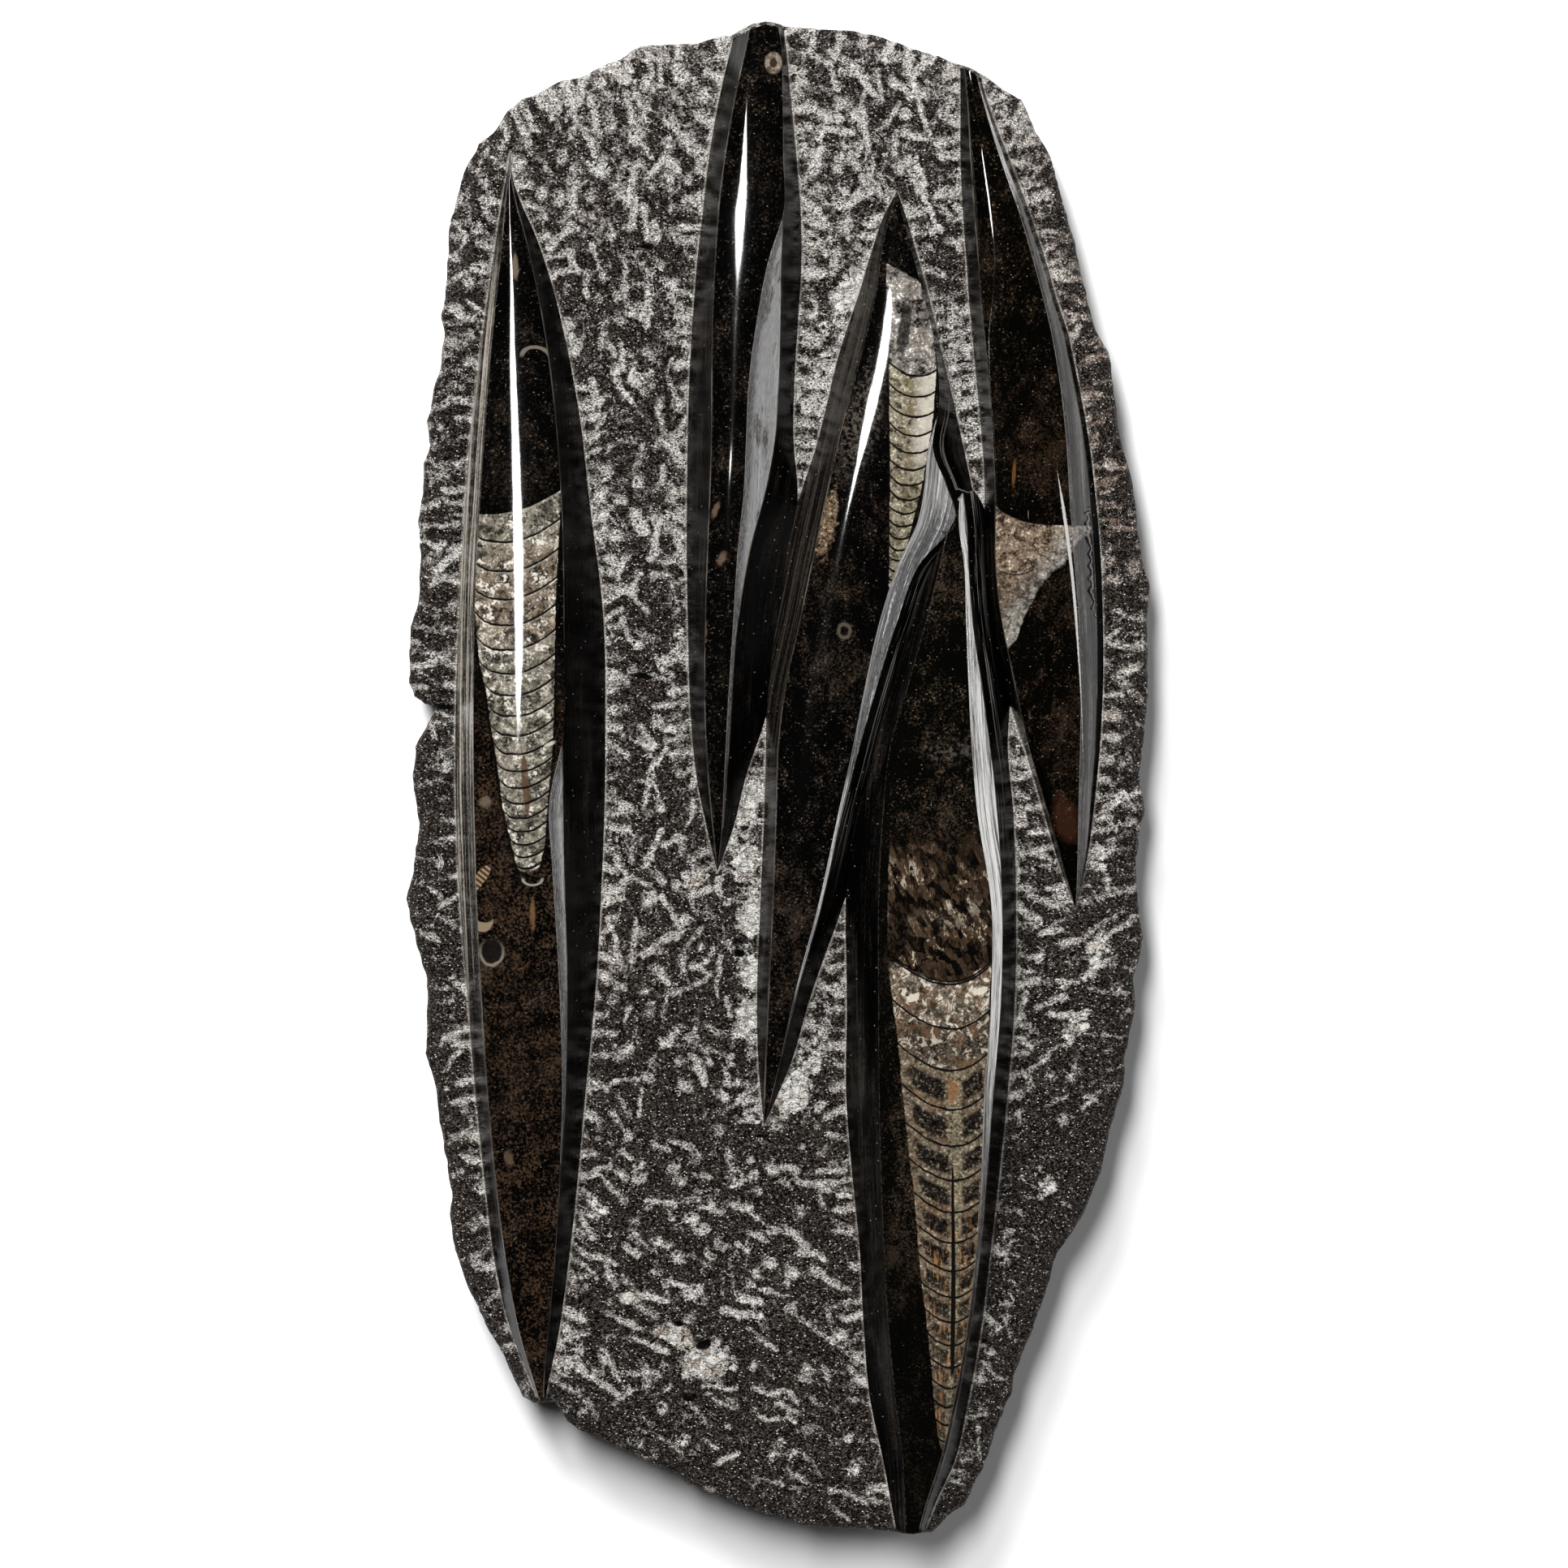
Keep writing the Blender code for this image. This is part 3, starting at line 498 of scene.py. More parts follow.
def field_marks(rng):
    """Strokes and point blows all over the ground, on a jittered lattice."""
    marks = []
    pitch = 6.6
    for row, y in enumerate(np.arange(-252, 252, pitch * 0.86)):
        for x in np.arange(-126, 126, pitch) + (row % 2) * pitch / 2:
            px, py = np.array([x, y]) + rng.uniform(-0.42, 0.42, 2) * pitch
            angle = stroke_angle(px, py, rng)
            white = float(np.clip(rng.normal(0.50, 0.36), 0, 1.1))
            if rng.random() < 0.42:
                length, width, depth = rng.uniform(0, 1.6), rng.uniform(1.1, 2.2), 1.25
            else:
                length, width, depth = rng.uniform(4.0, 13.0), rng.uniform(0.7, 1.3), 0.95
            marks.append((px, py, angle, length, width, depth * rng.uniform(0.6, 1.1), white))
    return marks


def stained(points, patches):
    """How pale the patches make each point: each is x, y, half length, half width, turn, share."""
    total = np.zeros(len(points))
    for x, y, long, wide, turn, share in patches:
        angle = math.radians(turn)
        dx, dy = points[:, 0] - x, points[:, 1] - y
        along = (dx * math.cos(angle) + dy * math.sin(angle)) / long
        across = (dy * math.cos(angle) - dx * math.sin(angle)) / wide
        total = np.maximum(total, share * np.clip(1.6 - np.hypot(along, across) * 1.1, 0, 1))
    return total


def paleness(points):
    """The change in paleness at each point, between the table's places."""
    total, weights = np.zeros((2, len(points)))
    for x, y, change in PALENESS:
        weight = 1 / (np.hypot(points[:, 0] - x, points[:, 1] - y) ** 2 + 100)
        total += weight * change
        weights += weight
    return total / weights


def marked(points, marks):
    """Depth that the marks cut at each point, how pale they bruise the stone, and their pits, which
    the ground's colour paints near black as shade.

    A mark is x, y, angle, length, width, depth and how white it is.
    """
    order = np.argsort(points[:, 1])
    x, y = points[order, 0], points[order, 1]
    cut, bruise, pit_shade = np.zeros((3, len(points)))
    for mx, my, angle, length, width, depth, white in marks:
        reach = length / 2 + width * 1.7
        first, last = np.searchsorted(y, (my - reach, my + reach))
        if first == last:
            continue
        dx, dy = x[first:last] - mx, y[first:last] - my
        along = dx * math.cos(angle) + dy * math.sin(angle)
        across = dy * math.cos(angle) - dx * math.sin(angle)
        off = np.hypot(np.maximum(np.abs(along) - length / 2, 0), across)
        hollow = np.clip(1 - off / width, 0, 1)
        lip = np.clip(1 - np.abs(off - width * 1.05) / (width * 0.45), 0, 1)
        part = cut[first:last]
        part += np.maximum(depth * hollow * hollow * (3 - 2 * hollow) - part, 0)
        part -= 0.22 * depth * lip
        stain = white * np.clip(1.55 - off / width, 0, 1.1)
        bruise[first:last] = np.maximum(bruise[first:last], stain)
        if length < 2:
            hole = np.clip(1 - np.hypot(dx + width * 0.45, dy - width * 0.45) / 1.5, 0, 1)
            pit_shade[first:last] = np.maximum(pit_shade[first:last], hole * (0.5 + 0.6 * white))
    back = np.empty_like(order)
    back[order] = np.arange(len(order))
    return cut[back], bruise[back], pit_shade[back]


# --- The stone's mesh ---------------------------------------------------------------------------


def border_lines(loop):
    """The shells' borders where they meet the ground."""
    lines = []
    for name in RIDGES:
        y = stations(name)
        for column in (LEFT, RIGHT):
            x = ridge_line(name, column, y)
            line = np.stack([x, y], axis=1)
            lines += runs(line, (relief(x, y, name) <= 0) & inside_of(loop, line))
    return lines


def shown(name, line, loop, near_rim):
    """Which points of a ridge's line no other ridge covers and lie well inside the loop."""
    keep = relief(*line.T, name) <= ridge_height(name, *line.T) + 1e-6
    return keep & inside_of(loop, line) & (near_rim(line)[0] > 0.6)


def crease_lines(loop):
    """Every edge of the shells inside the loop: borders, shoulders, facets and valleys."""
    near_rim = Nearest([loop], closed=True)
    lines = []
    for name in RIDGES:
        y = stations(name)
        for column in (LEFT, SHOULDER, START, END, RIGHT):
            x = ridge_line(name, column, y)
            line = np.stack([x, y], axis=1)
            keep = shown(name, line, loop, near_rim)
            if column == END:
                keep &= x - ridge_line(name, START, y) > NARROWEST_FACET
            if column in (SHOULDER, START):
                keep &= ridge_line(name, HIGH, y) > 0.5
            lines += runs(line, keep)
            if name in BEVEL and column == START:
                keep &= ridge_line(name, END, y) - x > BEVEL[name] + 0.5
                lines += runs(line + (BEVEL[name], 0), keep)
    for first, second in NEIGHBOURS:
        y = np.arange(-60, 110, LINE_STEP)
        x, crossing = valley_line(first, second, y)
        lines += runs(np.stack([x, y], axis=1), crossing)
    return lines


def crest_lines(loop):
    """The crowns' highest lines, where their two curves meet."""
    near_rim = Nearest([loop], closed=True)
    lines = []
    for name in sorted(RIDGES.keys() - ROOF.keys()):
        y = stations(name)
        x = ridge_line(name, CREST, y)
        line = np.stack([x, y], axis=1)
        keep = (x - ridge_line(name, SHOULDER, y) > 0.4) & (ridge_line(name, START, y) - x > 0.4)
        lines += runs(line, keep & shown(name, line, loop, near_rim))
    return lines


def hexagonal(step, jitter, rng):
    """A lattice of triangles over the whole plate, its points moved at random."""
    rows = np.arange(-251, 251, step * 0.866)
    columns = np.arange(-125, 125, step)
    x, y = np.meshgrid(columns, rows)
    x[1::2] += step / 2
    points = np.stack([x.ravel(), y.ravel()], axis=1)
    return points + rng.uniform(-jitter, jitter, points.shape) * step


def lattice(loop, lines, rng):
    """Points over the ground, and wider ones over the shells, clear of the lines."""
    fine = hexagonal(GROUND_STEP, 0.14, rng)
    coarse = hexagonal(CROWN_STEP, 0.0, rng)
    fine = fine[inside_of(loop, fine)]
    coarse = coarse[inside_of(loop, coarse)]
    fine = fine[relief(*fine.T) <= 0]
    coarse = coarse[relief(*coarse.T) > 0]
    near = Nearest([*lines, np.vstack([loop, loop[:1]])])
    fine = fine[near(fine)[0] > 0.5 * GROUND_STEP]
    coarse = coarse[near(coarse)[0] > 0.42 * CROWN_STEP]
    return np.vstack([fine, coarse])


def ring_edges(count):
    return [(k, (k + 1) % count) for k in range(count)]


def triangulated(loop, lines, points):
    """Points and faces of the loop's inside, the lines' edges, and where the loop's points went."""
    vertices = [Vector(p) for p in loop]
    edges = ring_edges(len(loop))
    for line in lines:
        first = len(vertices)
        vertices += [Vector(p) for p in line]
        edges += [(first + k, first + k + 1) for k in range(len(line) - 1)]
    vertices += [Vector(p) for p in points]
    found = delaunay_2d_cdt(vertices, edges, [list(range(len(loop)))], 1, MERGE_DISTANCE)
    flat = np.array([tuple(v) for v in found[0]])
    creases = [edge for edge, origins in zip(found[1], found[4]) if origins]
    rim = [None] * len(loop)
    for vertex, origins in enumerate(found[3]):
        for origin in origins:
            if origin < len(loop):
                rim[origin] = vertex
    return flat, np.array(found[2]), creases, rim


def ground(points, loop, ridges):
    """The smooth ground: thicker towards -y, gently uneven, falling towards the open edge."""
    x, y = points.T
    uneven = np.sin(x / 31 + 0.9) * np.cos(y / 43) + 0.6 * np.sin(x / 17 - y / 29)
    edge = np.clip(1 - Nearest([loop], closed=True)(points)[0] / EDGE_REACH, 0, 1)
    fall = EDGE_FALL * edge * edge * np.clip(1 - ridges / EDGE_FALL, 0, 1)
    return ground_level(y) + 0.7 * uneven - fall


def surface(flat, widest, away, rim, rng):
    """Heights of the top's points, and what the ground's material needs to know of each."""
    ridges = relief(*flat.T)
    to_border, _ = Nearest(border_lines(rim))(flat)
    marks = field_marks(rng) + border_ticks(rng) + edge_ticks(rng, widest, away)
    wander = np.stack([fractal(flat, 5.0, 71, 2), fractal(flat, 5.0, 73, 2)], axis=1)
    cut, bruise, pit_shade = marked(flat + 0.8 * wander, marks)
    to_rim, _ = Nearest([rim], closed=True)(flat)
    # Painted shade: within 8 mm of the rim the ground is darkened, the more towards -y, where the
    # edge falls away from the light; it is taken off the bruise.
    rim_shade = np.clip(1 - to_rim / 8, 0, 1) * (0.15 + 0.45 * np.clip((40 - flat[:, 1]) / 160, 0, 1))
    bruise = bruise + paleness(flat) - rim_shade
    spar = stained(flat + 1.2 * wander, PALE_PATCHES)
    holes = stained(flat + 0.5 * wander, HOLES)
    pit_shade = np.maximum(pit_shade, holes)
    cut = cut + 1.8 * holes
    rough = 0.55 * fractal(flat, 5.5, 3, 4, 0.55) + 0.16 * lattice_noise(flat, 1.1, 9)
    open_ground = ridges <= 0
    fade = np.clip(to_border / 1.6, 0, 1)
    change = (rough - cut) * fade - 0.25 * fade
    height = ground(flat, rim, ridges) + ridges + np.where(open_ground, change, 0)
    return height, {"bruise": bruise, "pit_shade": pit_shade, "border": to_border, "spar": spar}


def side_rings(widest, away, rim_height):
    """Rings of points down the broken side, from under the rim to the base."""
    rings = []
    for share, inset in SIDE_PROFILE:
        z = rim_height * share
        place = np.column_stack([widest, z])
        ledges = np.abs(fractal(place * [1, 1, 2.2], 16, 21, 3)) * 2.6
        grain = 0.55 * (1 + fractal(place, 4.0, 31, 3))
        chips = (ledges + grain) * min(1, 6 * (1 - share)) * (0.3 + 0.7 * (share < 0.7))
        wide = widest - away * (inset + chips)[:, None]
        z = z + (0.02 < share < 0.95) * 0.5 * lattice_noise(place, 6.0, 41)
        rings.append(np.column_stack([wide, z]))
    return rings


def face_zones(flat, faces):
    """The material of each face of the top, which is its slot's place."""
    x, y = flat[faces].mean(axis=1).T
    owner, heights = owners(x, y)
    zone = np.full(len(faces), GROUND)
    for k, name in enumerate(RIDGES):
        mine = (owner == k) & (heights[k] > 0)
        shoulder, start, end = facet_edges(name, y)
        zone[mine] = FLANK
        zone[mine & (x > start) & (x < end) & (end - start > NARROWEST_FACET)] = FACET
        zone[mine & (x > shoulder) & (x < start)] = CROWN + k
    return zone


def stone_mesh(ceiling):
    """The stone as one closed mesh, with its zones as material indices."""
    rng = np.random.default_rng(SEED)
    widest = subdivided(np.array(OUTLINE, float), OUTLINE_STEP)
    away = outward(widest)
    bite = np.clip(0.35 * (1 + fractal(widest, 5.0, 51, 3)), 0, None)
    widest = widest - away * np.where(np.abs(widest[:, 1]) < 247, bite, 0)[:, None]
    rim = widest - away * (TOP_INSET + 0.5 * fractal(widest, 7.0, 61, 2))[:, None]
    lines = crease_lines(rim)
    every = lines + crest_lines(rim)
    flat, faces, creases, rim_index = triangulated(rim, every, lattice(rim, every, rng))
    height, facts = surface(flat, widest, away, rim, rng)
    height = np.minimum(height, ceiling)

    vertices = [np.column_stack([flat, height])]
    count = len(flat)
    above = np.array(rim_index)
    side = []
    for ring in side_rings(widest, away, height[above]):
        vertices.append(ring)
        below = count + np.arange(len(ring))
        count += len(ring)
        follow = np.roll(above, -1), np.roll(below, -1)
        side.append(np.column_stack([follow[0], above, below]))
        side.append(np.column_stack([follow[0], below, follow[1]]))
        above = below
    base = vertices[-1]
    base[:, 2] = 0
    back = delaunay_2d_cdt(
        [Vector(p[:2]) for p in base],
        ring_edges(len(base)),
        [list(range(len(base)))],
        1,
        MERGE_DISTANCE,
    )
    source = np.array([origins[0] for origins in back[3]])
    bottom = above[source[np.array(back[2])]][:, ::-1]

    mesh = bpy.data.meshes.new("orthoceras_stone")
    triangles = np.vstack([faces, *side, bottom])
    points = np.vstack(vertices)
    mesh.from_pydata((points * MM).tolist(), [], triangles.tolist())
    side_index = [
        np.full(len(s), GROUND if k < 2 * TOP_RINGS else SIDE) for k, s in enumerate(side)
    ]
    index = np.concatenate([face_zones(flat, faces), *side_index, np.full(len(bottom), BACK)])
    mesh.polygons.foreach_set("material_index", index.astype(np.int32))
    for name, values in facts.items():
        layer = mesh.attributes.new(name, "FLOAT", "POINT")
        sides = np.tile(values[rim_index], len(SIDE_PROFILE))
        layer.data.foreach_set("value", np.concatenate([values, sides]).astype(np.float32))
    mark_creases(mesh, creases)
    set_polish(mesh, flat, faces, index[:len(faces)] != GROUND)
    return mesh


def even_height(x, y):
    """Height of the shells on even ground, away from the slab's edge."""
    return ground_level(y) + relief(x, y)


def set_polish(mesh, flat, faces, polished):
    """Gives the shells' faces the normals of their exact sections, so that highlights run true."""
    corners = flat[faces[polished]]
    just_inside = 0.03
    corners = corners + just_inside * (corners.mean(axis=1, keepdims=True) - corners)
    x, y = corners.reshape(-1, 2).T
    d = 0.002
    slope_x = (even_height(x + d, y) - even_height(x - d, y)) / (2 * d)
    slope_y = (even_height(x, y + d) - even_height(x, y - d)) / (2 * d)
    normal = np.stack([-slope_x, -slope_y, np.ones_like(x)], axis=1)
    normal /= np.linalg.norm(normal, axis=1, keepdims=True)
    every = np.zeros((len(mesh.polygons), 3, 3))
    every[: len(faces)][polished] = normal.reshape(-1, 3, 3)
    mesh.normals_split_custom_set(every.reshape(-1, 3).tolist())
    across = np.zeros((len(mesh.polygons), 3))
    across[: len(faces)][polished] = across_shell(x, y).reshape(-1, 3)
    layer = mesh.attributes.new("across", "FLOAT", "CORNER")
    layer.data.foreach_set("value", across.ravel().astype(np.float32))


def across_shell(x, y):
    """How far each place is from the nearest long edge of its shell, for lines that follow it."""
    owner, _ = owners(x, y)
    across = np.zeros(len(x))
    for k, name in enumerate(RIDGES):
        shoulder, start, end = facet_edges(name, y)
        own = np.select([x < start, x < end], [x - shoulder, x - start], x - end)
        across = np.where(owner == k, own, across)
    return across


def mark_creases(mesh, creases):
    """Smooth shading everywhere but over the shells' edges."""
    mesh.shade_smooth()
    wanted = {(min(a, b), max(a, b)) for a, b in creases}
    pairs = np.empty(len(mesh.edges) * 2, np.int32)
    mesh.edges.foreach_get("vertices", pairs)
    pairs = np.sort(pairs.reshape(-1, 2), axis=1)
    sharp = np.array([(a, b) in wanted for a, b in pairs.tolist()])
    layer = mesh.attributes.new("sharp_edge", "BOOLEAN", "EDGE")
    layer.data.foreach_set("value", sharp)


# --- Node maths ---------------------------------------------------------------------------------


class Term:
    """A number or colour in a material's nodes, which adds, multiplies and so on as numbers do."""

    def __init__(self, graph, socket):
        self.graph, self.socket = graph, socket

    def __add__(self, other):
        return self.graph.math("ADD", self, other)

    def __sub__(self, other):
        return self.graph.math("SUBTRACT", self, other)

    def __rsub__(self, other):
        return self.graph.math("SUBTRACT", other, self)

    def __mul__(self, other):
        return self.graph.math("MULTIPLY", self, other)

    def __truediv__(self, other):
        return self.graph.math("DIVIDE", self, other)

    def __abs__(self):
        return self.graph.math("ABSOLUTE", self)

    __radd__ = __add__
    __rmul__ = __mul__


class Graph:
    """A material whose nodes are written as sums."""

    def __init__(self, name):
        self.material = bpy.data.materials.new(name)
        self.material.use_nodes = True
        self.nodes = self.material.node_tree.nodes
        self.shader = self.nodes["Principled BSDF"]
        self.made = {}

    def link(self, value, socket):
        if isinstance(value, Term):
            self.material.node_tree.links.new(value.socket, socket)
        elif isinstance(value, tuple) and len(value) == 3 and socket.type == "RGBA":
            socket.default_value = (*value, 1)
        else:
            socket.default_value = value

    def math(self, operation, *values):
        node = self.nodes.new("ShaderNodeMath")
        node.operation = operation
        for value, socket in zip(values, node.inputs):
            self.link(value, socket)
        return Term(self, node.outputs[0])

    def least(self, first, second):
        return self.math("MINIMUM", first, second)

    def most(self, first, second):
        return self.math("MAXIMUM", first, second)

    def ramp(self, value, low, high, start, end, interpolation):
        node = self.nodes.new("ShaderNodeMapRange")
        node.interpolation_type = interpolation
        for k, number in enumerate((low, high, start, end)):
            node.inputs[k + 1].default_value = number
        self.link(value, node.inputs[0])
        return Term(self, node.outputs[0])

    def rise(self, value, low, high):
        """0 below low and 1 above high, smoothly between; falls instead where low is above high."""
        if low > high:
            return self.ramp(value, high, low, 1.0, 0.0, "SMOOTHSTEP")
        return self.ramp(value, low, high, 0.0, 1.0, "SMOOTHSTEP")

    def place(self):
        """x, y and z in millimetres."""
        if "place" not in self.made:
            coordinates = self.nodes.new("ShaderNodeTexCoord")
            scale = self.nodes.new("ShaderNodeVectorMath")
            scale.operation = "SCALE"
            scale.inputs["Scale"].default_value = 1 / MM
            self.link(Term(self, coordinates.outputs["Object"]), scale.inputs[0])
            split = self.nodes.new("ShaderNodeSeparateXYZ")
            self.link(Term(self, scale.outputs[0]), split.inputs[0])
            self.made["place"] = [Term(self, output) for output in split.outputs]
            self.made["vector"] = Term(self, scale.outputs[0])
        return self.made["place"]

    def vector(self, x=1.0, y=1.0, z=1.0, turn=0.0):
        """The place in millimetres, turned about z and stretched along each axis."""
        self.place()
        if (x, y, z, turn) == (1.0, 1.0, 1.0, 0.0):
            return self.made["vector"]
        node = self.nodes.new("ShaderNodeMapping")
        node.inputs["Scale"].default_value = (x, y, z)
        node.inputs["Rotation"].default_value = (0, 0, turn)
        self.link(self.made["vector"], node.inputs["Vector"])
        return Term(self, node.outputs[0])

    def joined(self, x, y, z=0.0):
        node = self.nodes.new("ShaderNodeCombineXYZ")
        for value, socket in zip((x, y, z), node.inputs):
            self.link(value, socket)
        return Term(self, node.outputs[0])

    def noise(self, cell, detail=3.0, gain=0.5, vector=None, swirl=0.0):
        """Fractal noise about 0.5, with lumps of about cell millimetres."""
        node = self.nodes.new("ShaderNodeTexNoise")
        node.inputs["Scale"].default_value = 1 / cell
        node.inputs["Detail"].default_value = detail
        node.inputs["Roughness"].default_value = gain
        node.inputs["Distortion"].default_value = swirl
        self.link(vector or self.vector(), node.inputs["Vector"])
        return Term(self, node.outputs["Fac"])

    def sway(self, *values):
        """The same noise about 0."""
        return self.noise(*values) - 0.5

    def cells(self, cell, vector=None, feature="F1"):
        """Distance to the nearest of scattered points, in cells, and a random number for each."""
        node = self.nodes.new("ShaderNodeTexVoronoi")
        node.feature = feature
        node.inputs["Scale"].default_value = 1 / cell
        self.link(vector or self.vector(), node.inputs["Vector"])
        split = self.nodes.new("ShaderNodeSeparateColor")
        if feature == "F1":
            self.link(Term(self, node.outputs["Color"]), split.inputs[0])
        return Term(self, node.outputs["Distance"]), Term(self, split.outputs[0])

    def attribute(self, name):
        node = self.nodes.new("ShaderNodeAttribute")
        node.attribute_name = name
        return Term(self, node.outputs["Fac"])

    def curve(self, value, points):
        """A smooth curve through points, of the value."""
        points = sorted(points)
        low, high = points[0][0], points[-1][0]
        bottom = min(p[1] for p in points)
        top = max(p[1] for p in points) + 1e-3
        scaled = [((x - low) / (high - low), (y - bottom) / (top - bottom)) for x, y in points]
        node = self.nodes.new("ShaderNodeFloatCurve")
        line = node.mapping.curves[0]
        for place in scaled[1:-1]:
            line.points.new(*place)
        line.points[0].location, line.points[-1].location = scaled[0], scaled[-1]
        node.mapping.update()
        self.link(self.ramp(value, low, high, 0, 1, "LINEAR"), node.inputs["Value"])
        return Term(self, node.outputs[0]) * (top - bottom) + bottom

    def mix(self, share, first, second):
        node = self.nodes.new("ShaderNodeMix")
        node.data_type = "RGBA"
        self.link(share, node.inputs["Factor"])
        for value, socket in zip((first, second), [s for s in node.inputs if s.type == "RGBA"]):
            self.link(value, socket)
        return Term(self, [s for s in node.outputs if s.type == "RGBA"][0])

    def bump(self, height, distance):
        """Raises the surface by height, in distance millimetres."""
        node = self.nodes.new("ShaderNodeBump")
        node.inputs["Distance"].default_value = distance * MM
        self.link(height, node.inputs["Height"])
        return Term(self, node.outputs[0])

    def specular(self, level):
        self.link(level, self.shader.inputs["Specular IOR Level"])

    def finish(self, colour, roughness, normal=None, ior=None):
        self.link(colour, self.shader.inputs["Base Color"])
        self.link(roughness, self.shader.inputs["Roughness"])
        if normal is not None:
            self.link(normal, self.shader.inputs["Normal"])
        if ior is not None:
            self.shader.inputs["IOR"].default_value = ior
        return self.material


def srgb(red, green, blue):
    """A colour given as display values up to 255."""

    def linear(value):
        value /= 255
        return value / 12.92 if value <= 0.04045 else ((value + 0.055) / 1.055) ** 2.4

    return linear(red), linear(green), linear(blue)


# --- Materials ----------------------------------------------------------------------------------


def ground_material():
    """Dark limestone broken by the chisel: bruised pale where it was struck, with bright grains,
    its pits and holes painted near black as shade, and painted shade along its rim.
    """
    g = Graph("chiselled_limestone")
    x, y, _ = g.place()
    fine = g.sway(0.72, 2, 0.7, g.vector(1, 1.4, 1, 0.7), 0.5)
    small = g.sway(1.5, 3, 0.65, None, 0.6)
    medium = g.sway(4.2, 3, 0.6, None, 0.5)
    broad = g.sway(34, 2, 0.5)
    rusty = g.most(g.rise(x, 70, 112) * g.rise(y, 40, 90), g.rise(broad, 0.05, 0.25) * 0.4)
    winding = abs(g.sway(7.5, 3, 0.55, g.vector(1, 0.7, 1, 0.5), 1.6))
    vein = (
        g.rise(winding + abs(small) * 0.12, 0.055, 0.01)
        * g.rise(g.noise(12, 2) + fine * 0.3, 0.42, 0.6)
    )

    grit = fine * 1.8 + small * 0.5
    dark = g.mix(g.rise(grit, -0.12, 0.34), srgb(4, 3, 3), srgb(116, 105, 97))
    pale = g.mix(g.rise(grit, -0.26, 0.12), srgb(58, 49, 43), srgb(255, 248, 240))
    pale = g.mix(rusty * 0.8, pale, srgb(136, 106, 84))
    # The bruise attribute also carries the painted shade along the rim.
    blow = (
        g.attribute("bruise") + medium * 1.4 + small * 1.1 + fine * 0.4 + broad * 0.5 + vein * 0.35
    )
    colour = g.mix(g.rise(blow, 0.10, 0.84), dark, pale)
    colour = g.mix(
        g.rise(blow * 0.7 + fine * 2.4 + vein * 0.2, 0.70, 0.88), colour, srgb(255, 253, 248)
    )
    spar = g.attribute("spar") + medium * 1.5 + small * 1.1 + fine * 0.6
    bent = g.joined(x + small * 3, y + medium * 5)
    seam, _ = g.cells(3.4, bent, "DISTANCE_TO_EDGE")
    _, shade = g.cells(3.4, bent)
    calc = g.mix(
        g.rise(shade + fine * 1.6 + small * 0.9, -0.15, 0.5),
        srgb(150, 132, 114),
        srgb(255, 251, 244),
    )
    calc = g.mix(g.rise(seam + fine * 0.12, 0.10, 0.02) * 0.5, calc, srgb(26, 23, 20))
    colour = g.mix(g.rise(spar, 0.50, 0.85), colour, calc)

    near, chance = g.cells(0.8, g.vector(1, 1.5, 1, 0.5))
    colour = g.mix(
        g.rise(near, 0.55, 0.3) * g.rise(chance, 0.24, 0.18) * 0.7, colour, srgb(6, 6, 5)
    )
    grain = g.rise(near, 0.48, 0.26) * g.rise(chance, 0.87, 0.90)
    colour = g.mix(grain * 0.95, colour, srgb(250, 245, 238))
    # Painted shade: the pits and holes are coloured near black for the shade inside them, and the
    # fine cracks are darkened with them.
    hole = g.rise(g.attribute("pit_shade") + small * 0.9 + fine * 0.4, 0.55, 0.75)
    crack = g.rise(g.noise(2.4, 4, 0.62, g.vector(1, 1.4, 1, 0.8), 1.2), 0.385, 0.345)
    pit_shade = g.most(hole, crack)
    colour = g.mix(pit_shade * 0.95, colour, srgb(2, 2, 2))

    border = g.rise(g.attribute("border") + fine * 2.2 + small * 1.6, 0.70, 0.15)
    border = border * (0.3 + g.rise(g.noise(6, 2), 0.40, 0.58) * 0.6)
    colour = g.mix(border, colour, srgb(206, 199, 190))
    bump = g.bump(fine * 0.7 + small + medium + vein * 0.25 + grain * 0.15 - pit_shade * 0.5, 3.0)
    return g.finish(colour, 0.7 + fine * 0.3, bump, 1.2)


def side_material():
    """The broken edge, and the strip round it."""
    g = Graph("broken_limestone")
    fine = g.sway(0.7, 2, 0.62, None, 0.6)
    medium = g.sway(4.5, 4, 0.6)
    colour = g.mix(g.rise(fine + medium * 0.6, -0.16, 0.3), srgb(12, 11, 10), srgb(96, 90, 84))
    colour = g.mix(g.rise(medium + fine * 0.5, 0.14, 0.34), colour, srgb(170, 158, 146))
    bump = g.bump(fine + medium * 1.4, 1.1)
    return g.finish(colour, 0.7 + fine * 0.3, bump, 1.35)


def back_material():
    """The sawn back, with the saw's faint arcs."""
    g = Graph("sawn_limestone")
    x, y, _ = g.place()
    fine = g.sway(0.8, 3, 0.6)
    medium = g.sway(14, 4, 0.6)
    dx, dy = x + 420, y - 60
    arc = g.math("SQRT", dx * dx + dy * dy)
    line = g.sway(1.5, 2, 0.6, g.joined(arc, 0.0, 0.0))
    colour = g.mix(
        g.rise(fine * 0.5 + medium + line * 0.5, -0.3, 0.3), srgb(58, 54, 51), srgb(104, 99, 94)
    )
    bump = g.bump(line + fine * 0.4, 0.25)
    return g.finish(colour, 0.58 + line * 0.3, bump)


def specked(g, colour, cell, share, tint):
    """Adds pale flecks, of which the share of all cells has one."""
    near, chance = g.cells(cell, g.vector(1, 1.5, 1, 0.4))
    fleck = g.rise(near, 0.34, 0.16) * g.rise(chance, 1 - share, 1.02 - share)
    return g.mix(fleck * 0.8, colour, tint)


